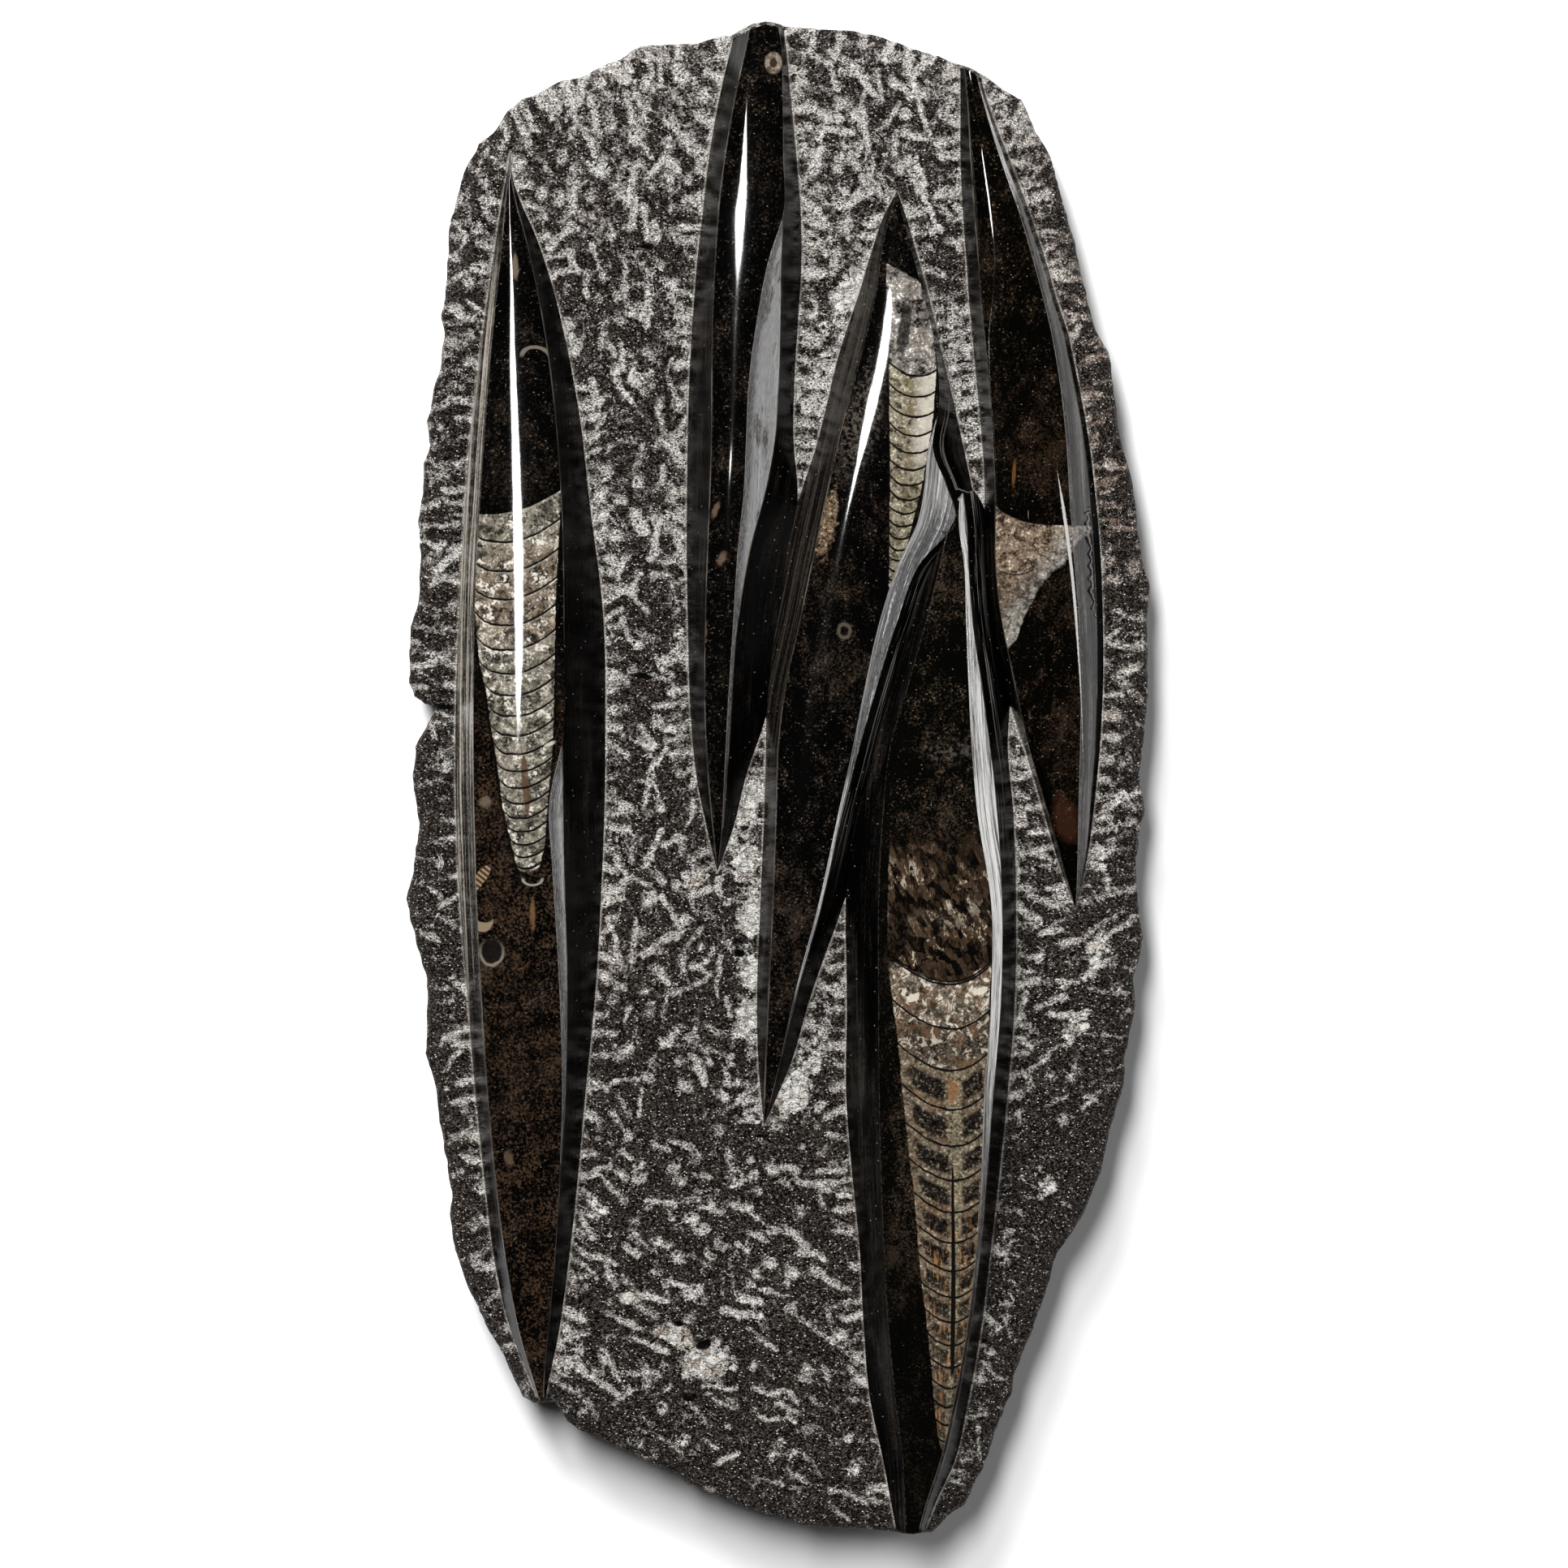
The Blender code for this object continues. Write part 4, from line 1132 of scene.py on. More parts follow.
def flank_material():
    """The ground flanks of the shells, satin, with the wheel's long fine lines, painted sheen on
    some left flanks and painted shade on the right ones.
    """
    g = Graph("ground_flank")
    x, y, _ = g.place()
    across = g.attribute("across")
    lines = g.sway(0.5, 3, 0.62, g.joined(across, y * 0.012))
    bands = g.sway(1.9, 2, 0.5, g.joined(across, y * 0.004))
    fine = g.sway(1.1, 3, 0.6)
    medium = g.sway(5, 4, 0.65, g.joined(across, y * 0.14), 0.6)
    tone = g.rise(medium + lines * 0.6 + fine * 0.4, -0.06, 0.42)
    colour = g.mix(tone, srgb(2, 2, 2), srgb(48, 42, 37))
    # Painted sheen: some left flanks of the left and leaning shells are paler, in stripes along the
    # wheel's lines, for the light they reflect.
    left_flank_sheen = g.rise(x, -91, -94) * between(g, y, -70, 175, 40)
    stripe = g.rise(lines * 1.4 + bands * 1.2 + fine * 0.4, -0.06, 0.30)
    colour = g.mix(left_flank_sheen * (0.02 + stripe * 0.9), colour, srgb(178, 169, 157))
    left_flank_sheen = (
        g.rise(across, 0.0, -0.2)
        * between(g, x, -8, 38, 1)
        * g.most(g.rise(y, 62, 76), g.rise(x, 12, 8))
    )
    colour = g.mix(left_flank_sheen * (0.02 + stripe * 0.22), colour, srgb(96, 88, 79))
    # Painted shade: the right flanks, which face away from the light, are darkened towards black,
    # the more so right of x 66.
    colour = g.mix(
        g.rise(across, 0.0, 0.2) * (0.4 + g.rise(x, 64, 68) * 0.5), colour, srgb(2, 2, 2)
    )
    shady = g.rise(across, 0.2, 0.0) * between(g, x, 58, 74, 1) * g.rise(y, 60, 70)
    colour = g.mix(shady * 0.4, colour, srgb(2, 2, 2))
    colour = specked(g, colour, 1.3, 0.04, srgb(130, 120, 110))
    strand = g.rise(lines + bands * 0.4 + abs(across) * 0.03, 0.14, 0.20) * g.rise(across, 0.0, 0.1)
    strand = strand * g.rise(across, 6, 1) * between(g, x, 14, 80, 1) * g.rise(y, -40, 20)
    colour = g.mix(strand * 0.7, colour, srgb(150, 146, 140))
    edge = g.rise(abs(across) + lines * 0.9 + medium * 0.5, 0.42, 0.1)
    edge = (
        edge
        * (0.15 + g.rise(g.noise(13, 2), 0.44, 0.6) * 0.4)
        * g.most(g.rise(x, 26, 22), g.rise(x, 53, 55))
    )
    colour = g.mix(edge, colour, srgb(130, 122, 114))
    bump = g.bump(lines + fine * 0.25, 0.07)
    g.specular(0.5 - g.rise(across, 0.0, 0.2) * (0.34 + g.rise(x, 64, 68) * 0.12))
    return g.finish(colour, 0.18 + lines * 0.2 + bands * 0.3, bump, 1.40)


def facet_material():
    """The flat facets, polished along their length, with a painted reflection in the leaning and
    lower shells' facets and a painted highlight along the right shell's.
    """
    g = Graph("polished_facet")
    x, y, _ = g.place()
    across = g.attribute("across")
    lines = g.sway(0.55, 4, 0.75, g.joined(across, y * 0.018))
    bands = g.sway(2.2, 3, 0.6, g.joined(across, y * 0.03))
    fine = g.sway(0.9, 3, 0.6, g.vector(1, 0.5, 1))
    medium = g.sway(6, 4, 0.6, g.joined(across, y * 0.3))
    colour = g.mix(g.rise(medium + fine * 0.4, -0.3, 0.3), srgb(8, 7, 7), srgb(34, 29, 26))
    colour = g.mix(window_mask(g) * g.rise(x, 90, 92) * 0.8, colour, window_fill(g))
    edge = g.rise(across + lines * 0.8, 0.30, 0.05)
    colour = g.mix(edge * 0.4, colour, srgb(120, 114, 108))
    # Partly painted reflection: the leaning and lower shells' facets are lightened to grey and
    # paler along their streaks, partly for their ground finish, partly for the reflector they
    # mirror.
    streaked = between(g, x, 6, 78, 1) * g.rise(y, -150, -70)
    matte_sheen = streaked * g.rise(lines * 1.3 + bands * 0.7 + medium * 0.3, -0.20, 0.08)
    grey = g.mix(g.rise(x, 56, 60) * g.rise(y, 96, 90), srgb(136, 135, 134), srgb(172, 171, 169))
    colour = g.mix(matte_sheen * 0.94, colour, grey)
    streak = g.rise(lines * 1.2 + bands * 0.8 + fine * 0.3, 0.04, 0.24)
    low = g.rise(y, 84, 66)
    colour = g.mix(streak * (0.15 + streaked * (0.5 + low * 0.3)), colour, srgb(190, 189, 187))
    frayed = (
        g.rise(lines + bands * low * 0.8 + fine * 0.3 - low * 0.04, 0.10, 0.02)
        * g.rise(across + low * 2.4, 2.0, 4.5)
    )
    frayed = frayed * between(g, x, 18, 60, 1) * g.rise(y, 96, 84)
    colour = g.mix(frayed * 0.85, colour, srgb(10, 9, 9))
    # Painted highlight: a thin pale strip along the right shell's facet.
    colour = g.mix(facet_highlight(g) * 0.85, colour, srgb(190, 188, 185))
    dusty = g.rise(x, 84, 86) * g.rise(bands + medium * 0.8 + fine * 0.4, 0.0, 0.22)
    colour = g.mix(dusty * 0.4, colour, srgb(84, 80, 76))
    scored = g.rise(across, 3.2, 0.0) + g.rise(medium, 0.02, 0.16) + streaked * 0.6
    bump = g.bump(lines * (0.3 + scored) + bands * streaked * 0.8 + fine * 0.2, 0.16)
    patchy = g.rise(bands + medium * 0.7, -0.20, 0.16)
    g.specular(0.5 - g.rise(x, 84, 86) * (0.26 - patchy * 0.22))
    return g.finish(colour, 0.15 + lines * 0.25, bump, 1.8)


class Chambers:
    """A chambered shell cut lengthways: where the place lies in it, between its two walls.

    The walls are curves x(y). A septum hangs from the walls like a chain and each is nearer to
    the next by the same ratio, towards the apex.
    """

    def __init__(self, g, left, right, apex, span, ratio, lowest, rises, powers):
        x, y, _ = g.place()
        waver = g.sway(3.5, 2)
        wall = g.curve(y, left)
        width = g.curve(y, right) - wall
        self.across = (x + waver * 0.7 - wall) / width
        to_left = g.most((lowest - self.across) / lowest, 0.0)
        to_right = g.most((self.across - lowest) / (1 - lowest), 0.0)
        rise = (
            g.math("POWER", to_left, powers[0]) * rises[0]
            + g.math("POWER", to_right, powers[1]) * rises[1]
        )
        self.level = y + waver * 0.8 - rise * width
        share = g.most((self.level - apex) / span, 0.001)
        count = g.math("LOGARITHM", share, ratio)
        self.number = g.math("FLOOR", count)
        self.within = count - self.number
        gap = (self.level - apex) * -math.log(ratio)
        off = abs(count - g.math("ROUND", count)) * gap
        self.septum = g.rise(off + g.sway(1.0, 2) * 0.35, 0.52, 0.22)
        self.wall = g.least(self.across, 1 - self.across) * width
        self.inside = g.rise(self.wall + g.sway(0.9, 2) * 0.4, -0.1, 0.2)


def spot(g, x, y, half_x, half_y, turn=0.0, ragged=0.25, cell=2.0):
    """Distance from an ellipse's middle, 1 at its edge, with a ragged edge."""
    px, py, _ = g.place()
    c, s = math.cos(math.radians(turn)), math.sin(math.radians(turn))
    along = ((px - x) * c + (py - y) * s) / half_x
    across = ((py - y) * c - (px - x) * s) / half_y
    return g.math("SQRT", along * along + across * across) + g.sway(cell, 3) * ragged * 2


def between(g, value, low, high, soft=0.3):
    """1 from low to high, with soft ends."""
    return g.rise(value, low - soft, low + soft) * g.rise(value, high + soft, high - soft)


def calcite(g, dark, mid, light, cell=4.0):
    """Mottled crystalline filling."""
    broad = g.sway(cell, 4, 0.6, None, 0.5)
    fine = g.sway(0.8, 3, 0.65)
    colour = g.mix(g.rise(broad + fine * 0.6, -0.19, 0.06), dark, mid)
    return g.mix(g.rise(broad * 0.8 + fine, 0.05, 0.30), colour, light)


def crown_base(g, low, high, bias=0.0):
    """The black body of a polished shell, mottled brown, with pale flecks and scratches."""
    fine = g.sway(0.8, 3, 0.65, None, 0.4)
    medium = g.sway(5, 4, 0.65, g.vector(1, 0.6, 1), 0.5)
    broad = g.sway(28, 2, 0.5)
    tone = g.rise(medium + fine * 1.5 + broad * 0.8, 0.0 - bias, 0.36 - bias)
    colour = g.mix(tone, low, high)
    grit = g.rise(fine + medium * 0.5, 0.13, 0.30)
    colour = g.mix(grit * 0.7, colour, srgb(102, 88, 75))
    colour = specked(g, colour, 1.0, 0.05, srgb(122, 108, 94))
    scratch = g.noise(0.9, 2, 0.6, g.vector(1, 0.10, 1, math.radians(24)))
    patch = g.noise(9, 2) * 0.5
    colour = g.mix(g.rise(scratch + patch, 1.06, 1.12) * 0.6, colour, srgb(150, 140, 128))
    return colour, fine


def crown_finish(g, colour, fine, polish=0.07):
    """The polish, gently waved, with a thin pale line along the crown's edges."""
    edge = g.rise(g.attribute("across") + g.sway(1.2, 2) * 1.2, 0.3, 0.0)
    colour = g.mix(edge * 0.16, colour, srgb(110, 102, 94))
    wave = g.sway(9, 3, 0.5, g.vector(1, 0.22, 1))
    bump = g.bump(wave + fine * 0.03, 0.07)
    return g.finish(colour, polish + fine * 0.05, bump, 1.66)


def left_crown():
    """The left shell: seventeen chambers, each closed by a dark septum, and small fossils below."""
    g = Graph("polished_left")
    x, y, _ = g.place()
    colour, fine = crown_base(g, srgb(1, 1, 1), srgb(32, 26, 21))
    brown = g.rise(y, 40, 0) * g.rise(g.noise(7, 4, 0.65) + g.sway(0.9, 3) * 1.8, 0.42, 0.90)
    colour = g.mix(brown * 0.8, colour, srgb(66, 50, 36))

    shell = Chambers(
        g,
        [(-34, -84.0), (-28.8, -85.6), (-20.5, -87.7), (-9.8, -90.2), (2.7, -91.9), (15, -93.9),
         (27.6, -95.8), (40, -98.2), (55, -99.6), (70, -100.6), (80, -101.2), (98, -101.8)],
        [(-34, -79.5), (-25.5, -77.2), (-19.7, -76.2), (-11.4, -75.7), (-1.5, -74.9), (6.8, -74.1),
         (19, -73.6), (40, -73.2), (60, -72.8), (80, -71.8), (98, -70.6)],
        -92.5, 170, 0.943, 0.42, (0.17, 0.26), (4.0, 1.8),
    )  # fmt: skip
    lit = calcite(g, srgb(30, 29, 25), srgb(116, 110, 98), srgb(196, 189, 175), 3.6)
    tan = calcite(g, srgb(36, 28, 21), srgb(110, 93, 77), srgb(184, 169, 151), 3.6)
    fill = g.mix(between(g, y + g.sway(8, 2) * 20, 46, 76, 5) * 0.6, lit, tan)
    smudge = g.noise(6, 3, 0.6, g.joined(x, y, shell.number * 9)) + g.sway(1.0, 3) * 0.5
    fill = g.mix(g.rise(smudge, 0.50, 0.66) * 0.85, fill, srgb(26, 24, 20))
    chalk = g.noise(4, 3, 0.6, g.joined(x, y, shell.number * 7 + 40)) + g.sway(0.9, 3) * 0.6
    fill = g.mix(g.rise(chalk, 0.54, 0.68) * 0.75, fill, srgb(220, 214, 202))
    for px, py, rx, ry in (
        (-96.5, 81.5, 3.6, 2.6), (-76, 89, 3.4, 2.0), (-97, 73.5, 2.2, 1.2), (-91, 61, 1.2, 0.9),
    ):  # fmt: skip
        fill = g.mix(
            g.rise(spot(g, px, py, rx, ry, 10, 0.5), 1.2, 0.4) * 0.75, fill, srgb(30, 29, 22)
        )
    fill = g.mix(g.rise(shell.within, 0.80, 0.99) * 0.5, fill, srgb(52, 46, 38))
    fill = g.mix(g.rise(shell.within, 0.16, 0.0) * 0.3, fill, srgb(190, 184, 170))
    siphon = spot(g, -82.8, -2, 10.5, 1.2, 94, 0.12)
    fill = g.mix(g.rise(siphon, 1.05, 0.85) * 0.9, fill, srgb(78, 58, 42))
    fill = g.mix(shell.septum, fill, srgb(10, 8, 7))
    roof = g.curve(
        x,
        [(-104, 88.5), (-101.5, 87.4), (-96, 86.6), (-90, 87), (-84, 88.7), (-77, 91.5), (-69, 96)],
    )
    body = shell.inside * g.rise(roof - y, -0.1, 0.3) * g.rise(shell.level, -31.2, -30.4)
    colour = g.mix(
        g.rise(abs(shell.wall + 0.3), 0.9, 0.4) * g.rise(y, -34, -30) * 0.8, colour, srgb(5, 4, 4)
    )
    colour = g.mix(body, colour, fill)

    curl = abs(spot(g, -80.5, -33, 3.2, 2.2, 0, 0.05) - 1)
    colour = g.mix(
        g.rise(curl, 0.22, 0.08) * g.rise(y, -32.5, -33.5) * 0.7, colour, srgb(150, 146, 136)
    )
    small = spot(g, -98.2, -33.5, 6.2, 1.9, 52, 0.12)
    rib = g.math("SINE", (x * 0.616 + y * 0.788) * 4.2)
    ribbed = g.mix(g.rise(rib, -0.2, 0.6), srgb(70, 52, 38), srgb(158, 134, 106))
    colour = g.mix(g.rise(small, 1.05, 0.9) * 0.75, colour, ribbed)
    crescent = g.rise(spot(g, -97, -47, 3.6, 3.6, 0, 0.1), 1.05, 0.9)
    crescent = crescent * g.rise(spot(g, -96.3, -44.6, 3.4, 3.0, 0, 0.1), 0.9, 1.1)
    colour = g.mix(crescent * 0.7, colour, srgb(142, 126, 104))
    ring = spot(g, -94, -57, 3.6, 4.2, 0, 0.1)
    colour = g.mix(
        g.rise(abs(ring - 1.05), 0.22, 0.05) * g.rise(y, -52, -60) * 0.6,
        colour,
        srgb(136, 128, 116),
    )
    colour = g.mix(g.rise(ring, 1.0, 0.85) * 0.9, colour, srgb(16, 14, 13))
    for px, py, rx, ry, turn, tint in (
        (-88.5, -125, 1.6, 3.4, 10, srgb(92, 76, 60)),
        (-86.5, 168, 1.3, 5.0, 0, srgb(120, 106, 90)),
        (-80.5, -45, 1.0, 6.0, 0, srgb(112, 84, 56)), (-96, -8, 2.6, 2.2, 0, srgb(110, 96, 80)),
        (-74.8, 11.2, 2.2, 0.7, 20, srgb(205, 200, 190)),
        (-64.4, 30, 0.8, 1.8, 0, srgb(120, 92, 70)),
    ):  # fmt: skip
        colour = g.mix(
            g.rise(spot(g, px, py, rx, ry, turn, 0.5) + fine, 1.1, 0.5) * 0.6, colour, tint
        )
    arch = spot(g, -79.6, 138, 5.2, 4.0, -8, 0.08)
    band = g.rise(abs(arch - 0.92), 0.2, 0.08) * g.rise(y, 138.0, 139.5)
    colour = g.mix(band * 0.75, colour, srgb(112, 104, 92))
    return crown_finish(g, colour, fine)


def upper_crown():
    """The shell at the top: black, with one stem joint of a sea lily and brown fans below."""
    g = Graph("polished_upper")
    colour, fine = crown_base(g, srgb(1, 1, 1), srgb(34, 28, 23))
    joint = spot(g, -1.5, 235.5, 3.0, 3.8, 0, 0.08)
    stem = calcite(g, srgb(70, 60, 50), srgb(122, 110, 95), srgb(178, 166, 148), 2)
    colour = g.mix(g.rise(joint + fine * 0.3, 1.05, 0.85) * 0.9, colour, stem)
    colour = g.mix(g.rise(joint, 0.5, 0.35), colour, srgb(46, 36, 30))
    for px, py, rx, ry, turn in (
        (-25, 48, 5, 1.8, 82), (-26.5, 62, 5, 1.4, 85), (-20.5, 88, 3.5, 1.2, 70),
        (-18.5, 72, 3.0, 1.6, 60), (-25.6, 136, 1.8, 2.0, 0),
    ):  # fmt: skip
        colour = g.mix(
            g.rise(spot(g, px, py, rx, ry, turn, 0.5, 1.6), 1.1, 0.4) * 0.55,
            colour,
            srgb(112, 92, 76),
        )
    return crown_finish(g, colour, fine)


def leaning_crown():
    """The leaning shell: a pale body chamber, then fifteen chambers that narrow to a point."""
    g = Graph("polished_leaning")
    x, y, _ = g.place()
    colour, fine = crown_base(g, srgb(1, 1, 1), srgb(42, 34, 27), 0.02)
    shell = Chambers(
        g,
        [(60, 36.6), (70, 36.6), (85, 36.7), (100, 36.8), (115, 36.7), (134, 36.6), (150, 36.0),
         (172, 35.5)],
        [(60, 37.6), (64, 38.8), (68, 40.2), (72, 41.4), (78, 42.9), (85, 44.6), (92, 46.4),
         (100, 48.2),
         (108, 49.4), (115, 50.6), (125, 51.5), (134, 52.0), (150, 50.8), (172, 46.5)],
        17.2, 115, 0.939, 0.64, (0.30, 0.12), (2.4, 2.0),
    )  # fmt: skip
    fill = calcite(g, srgb(44, 40, 31), srgb(124, 117, 99), srgb(206, 199, 180), 2.4)
    fill = g.mix(
        g.rise(shell.across, 0.45, 0.8) * g.rise(y, 95, 112) * 0.5, fill, srgb(214, 208, 196)
    )
    stain = (
        g.noise(3.2, 3, 0.6, g.joined(x, y, shell.number * 5))
        + between(g, shell.across, 0.3, 0.62, 0.15) * 0.12
    )
    fill = g.mix(g.rise(stain, 0.58, 0.74) * 0.7, fill, srgb(104, 92, 68))
    fill = g.mix(g.rise(shell.within, 0.80, 0.98) * 0.3, fill, srgb(110, 98, 74))
    body = calcite(g, srgb(10, 9, 8), srgb(118, 112, 105), srgb(238, 231, 222), 4.0)
    gap = g.rise(spot(g, 41.5, 147, 2.2, 9, -8, 0.35), 1.1, 0.8)
    body = g.mix(gap * 0.85, body, srgb(26, 23, 21))
    fill = g.mix(g.rise(shell.level, 132.2, 132.8), fill, body)
    fill = g.mix(shell.septum * g.rise(shell.level, 133.4, 132.9), fill, srgb(12, 9, 7))
    top = g.curve(x, [(34, 170), (38, 168.4), (43, 165.6), (48, 162.2), (54, 158)])
    inside = shell.inside * g.rise(top - y + g.sway(1.4, 3) * 2.4, -0.3, 0.6)
    inside = inside * g.rise(shell.level, 61.5, 63.0)
    colour = g.mix(
        g.rise(abs(shell.wall), 0.9, 0.3) * g.rise(y, 60, 64) * g.rise(y, 168, 160) * 0.8,
        colour,
        srgb(6, 5, 4),
    )
    colour = g.mix(inside, colour, fill)
    blotch = spot(g, 16, 83, 3.4, 13, -10, 0.45, 3.0)
    patchy = calcite(g, srgb(22, 16, 11), srgb(106, 88, 68), srgb(206, 188, 166), 1.8)
    colour = g.mix(g.rise(blotch + g.sway(1.4, 3, 0.65) * 1.2, 1.05, 0.6) * 0.85, colour, patchy)
    ring = abs(spot(g, 21.8, 48.3, 1.9, 2.2, 0, 0.25, 1.2) - 1)
    colour = g.mix(g.rise(ring, 0.45, 0.1) * 0.4, colour, srgb(112, 102, 90))
    veil = (
        g.rise(spot(g, 28, 118, 7, 24, -16, 0.5, 3.0), 1.1, 0.4)
        * g.rise(g.noise(1.3, 3, 0.65), 0.46, 0.62)
    )
    colour = g.mix(veil * 0.35, colour, srgb(120, 112, 102))
    return crown_finish(g, colour, fine)


def lower_crown():
    """The lower shell: broken crystals, then seventeen chambers round a central tube."""
    g = Graph("polished_lower")
    x, y, _ = g.place()
    colour, fine = crown_base(g, srgb(2, 2, 1), srgb(50, 41, 32), 0.04)
    colour = g.mix(g.most(g.rise(x, 42, 34), g.rise(y, -130, -180)) * 0.75, colour, srgb(2, 2, 1))
    shell = Chambers(
        g,
        [(-224, 54.5), (-219, 53.2), (-212, 52), (-195, 50.5), (-185, 49.5), (-172, 48.0),
         (-160, 46.5),
         (-147, 45.5), (-135, 44.5), (-125, 43), (-113, 42), (-100, 40.6), (-85, 39.2), (-70, 37.2),
         (-55, 36.0), (-40, 36.0), (-18, 37.0)],
        [(-224, 56.0), (-219, 57), (-212, 57.6), (-198, 60.5), (-178, 63), (-158, 65.2),
         (-135, 67.2),
         (-105, 68.4), (-70, 69.6), (-40, 70.5), (-18, 69)],
        -302.8, 235, 0.938, 0.60, (0.30, 0.20), (2.0, 2.0),
    )  # fmt: skip
    rim = calcite(g, srgb(38, 31, 24), srgb(98, 87, 72), srgb(184, 173, 154), 2.4)
    rim = g.mix(g.rise(g.noise(6, 2), 0.52, 0.66) * 0.5, rim, srgb(98, 72, 50))
    cell = calcite(g, srgb(4, 3, 2), srgb(30, 26, 22), srgb(122, 112, 98), 1.8)
    wobble = g.sway(1.6, 3) * 0.16
    lower = between(g, shell.within + wobble, 0.24, 0.80, 0.06)
    cells = (
        between(g, shell.across + wobble, 0.10, 0.51, 0.03)
        + between(g, shell.across + wobble, 0.71, 0.96, 0.03)
    )
    fade = g.rise(y, -212, -150)
    rim = g.mix((1 - fade) * 0.3, rim, srgb(20, 16, 12))
    fill = g.mix(lower * cells * (0.7 + fade * 0.3), rim, cell)
    column = between(g, shell.across, 0.54, 0.70, 0.02)
    rusty = g.rise(spot(g, 57, -103, 2.4, 4.2, 0, 0.3), 1.2, 0.7)
    cream = calcite(g, srgb(44, 38, 29), srgb(110, 102, 82), srgb(184, 175, 152), 1.6)
    cream = g.mix(rusty * 0.8, cream, srgb(120, 80, 48))
    fill = g.mix(column * 0.85, fill, cream)
    streaks = g.noise(1.1, 3, 0.6, g.vector(1, 0.12, 1)) + g.noise(5, 2) * 0.4
    fill = g.mix(g.rise(streaks, 0.74, 0.9) * g.rise(y, -130, -160) * 0.5, fill, srgb(168, 118, 74))
    blot = g.noise(3.4, 3, 0.6, None, 0.9)
    stain = g.noise(5.0, 3, 0.6, None, 0.6)
    second = between(g, shell.level, -96, -82.4, 0.3)
    gloomy = calcite(g, srgb(6, 5, 4), srgb(66, 58, 49), srgb(186, 177, 162), 1.8)
    gloomy = g.mix(g.rise(stain, 0.50, 0.58) * 0.6, gloomy, srgb(92, 66, 44))
    gloomy = g.mix(g.rise(blot, 0.56, 0.62) * 0.7, gloomy, srgb(188, 178, 160))
    fill = g.mix(second * 0.85, fill, gloomy)
    first = g.rise(shell.level, -82.7, -82.1)
    chalky = calcite(g, srgb(34, 29, 23), srgb(112, 101, 87), srgb(226, 218, 204), 2.6)
    chalky = g.mix(
        g.rise(spot(g, 42, -76, 5, 4.5, 20, 0.5), 1.2, 0.4) * 0.8, chalky, srgb(84, 64, 48)
    )
    chalky = g.mix(g.rise(stain, 0.50, 0.58) * 0.55, chalky, srgb(96, 74, 54))
    chalky = g.mix(g.rise(blot, 0.46, 0.39) * 0.7, chalky, srgb(26, 21, 17))
    chalky = g.mix(g.rise(blot, 0.55, 0.62) * 0.7, chalky, srgb(212, 204, 188))
    fill = g.mix(first * 0.95, fill, chalky)
    fill = g.mix(shell.septum, fill, srgb(10, 8, 7))
    tube = abs(
        x - g.curve(y, [(-198, 57.3), (-185, 57.4), (-160, 57.6), (-140, 57.4), (-126, 57.3)])
    )
    tube_width = g.curve(y, [
        (-198, 0.1), (-192, 0.6), (-180, 0.7), (-158, 0.6), (-145, 0.5), (-134, 0.35), (-126, 0.1),
    ])  # fmt: skip
    tube = (
        g.rise(tube - tube_width + g.sway(1.2, 2) * 0.3, 0.25, -0.1) * between(g, y, -197, -127, 2)
    )
    fill = g.mix(tube, fill, srgb(14, 11, 9))

    body = shell.inside * g.rise(shell.level, -222, -220)
    crystals = g.rise(shell.level + g.sway(6, 3) * 6, -67.4, -66.6)
    bend = g.sway(3, 3, 0.6)
    bent = g.joined(x + bend * 5, y + g.sway(3.4, 3) * 5)
    _, lump = g.cells(4.6, bent)
    _, shard = g.cells(1.7, g.joined(x + y * 0.5, y * 0.55 + bend * 4))
    ray = g.sway(0.8, 3, 0.7, g.vector(1, 0.25, 1, math.radians(-52)), 0.8)
    brown = g.mix(
        g.rise(shard + lump * 0.6 + ray * 1.4 + fine * 0.6, 0.45, 1.45),
        srgb(3, 2, 2),
        srgb(84, 66, 50),
    )
    depth = g.rise(y + g.sway(9, 3) * 18, -16, -40)
    spar = g.rise(lump + shard * 0.5 + ray * 1.4 + fine * 0.9, 1.22, 1.62)
    brown = g.mix(spar * depth * 0.8, brown, srgb(122, 106, 86))
    bright = g.rise(lump * 0.7 + shard * 0.7 + ray * 1.8 + fine, 1.26, 1.50)
    brown = g.mix(bright * depth, brown, srgb(214, 202, 180))
    for px, py, rx, ry, tint in (
        (56, -46, 6.5, 4.5, srgb(216, 202, 176)), (36, -30, 4.0, 4.5, srgb(178, 160, 134)),
        (65, -43, 4.0, 3.5, srgb(206, 194, 172)), (44, -47, 5.0, 2.0, srgb(156, 140, 116)),
    ):  # fmt: skip
        cluster = g.rise(spot(g, px, py, rx, ry, 0, 1.1, 1.8) + ray * 2.2, 0.95, 0.4)
        brown = g.mix(
            cluster * 0.5,
            brown,
            g.mix(g.rise(shard + fine * 1.5, 0.2, 1.0), srgb(48, 38, 29), tint),
        )
    brown = g.mix(0.45, brown, srgb(5, 4, 3))
    mess = crystals * g.rise(y + g.sway(10, 3) * 24, -14, -30) * shell.inside
    colour = g.mix(body * g.rise(y, -60, -64) * (1 - crystals), colour, fill)
    colour = g.mix(mess * 0.95, colour, brown)
    arc = g.rise(abs(shell.level + 66.9), 0.5, 0.2) * shell.inside
    colour = g.mix(arc * 0.95, colour, srgb(8, 6, 5))
    haze = (
        g.rise(spot(g, 56, 8, 9, 5, 10, 0.5, 4.0), 1.1, 0.4) * g.rise(g.noise(1.4, 3), 0.44, 0.62)
    )
    colour = g.mix(haze * 0.25, colour, srgb(112, 104, 96))
    return crown_finish(g, colour, fine, 0.055)


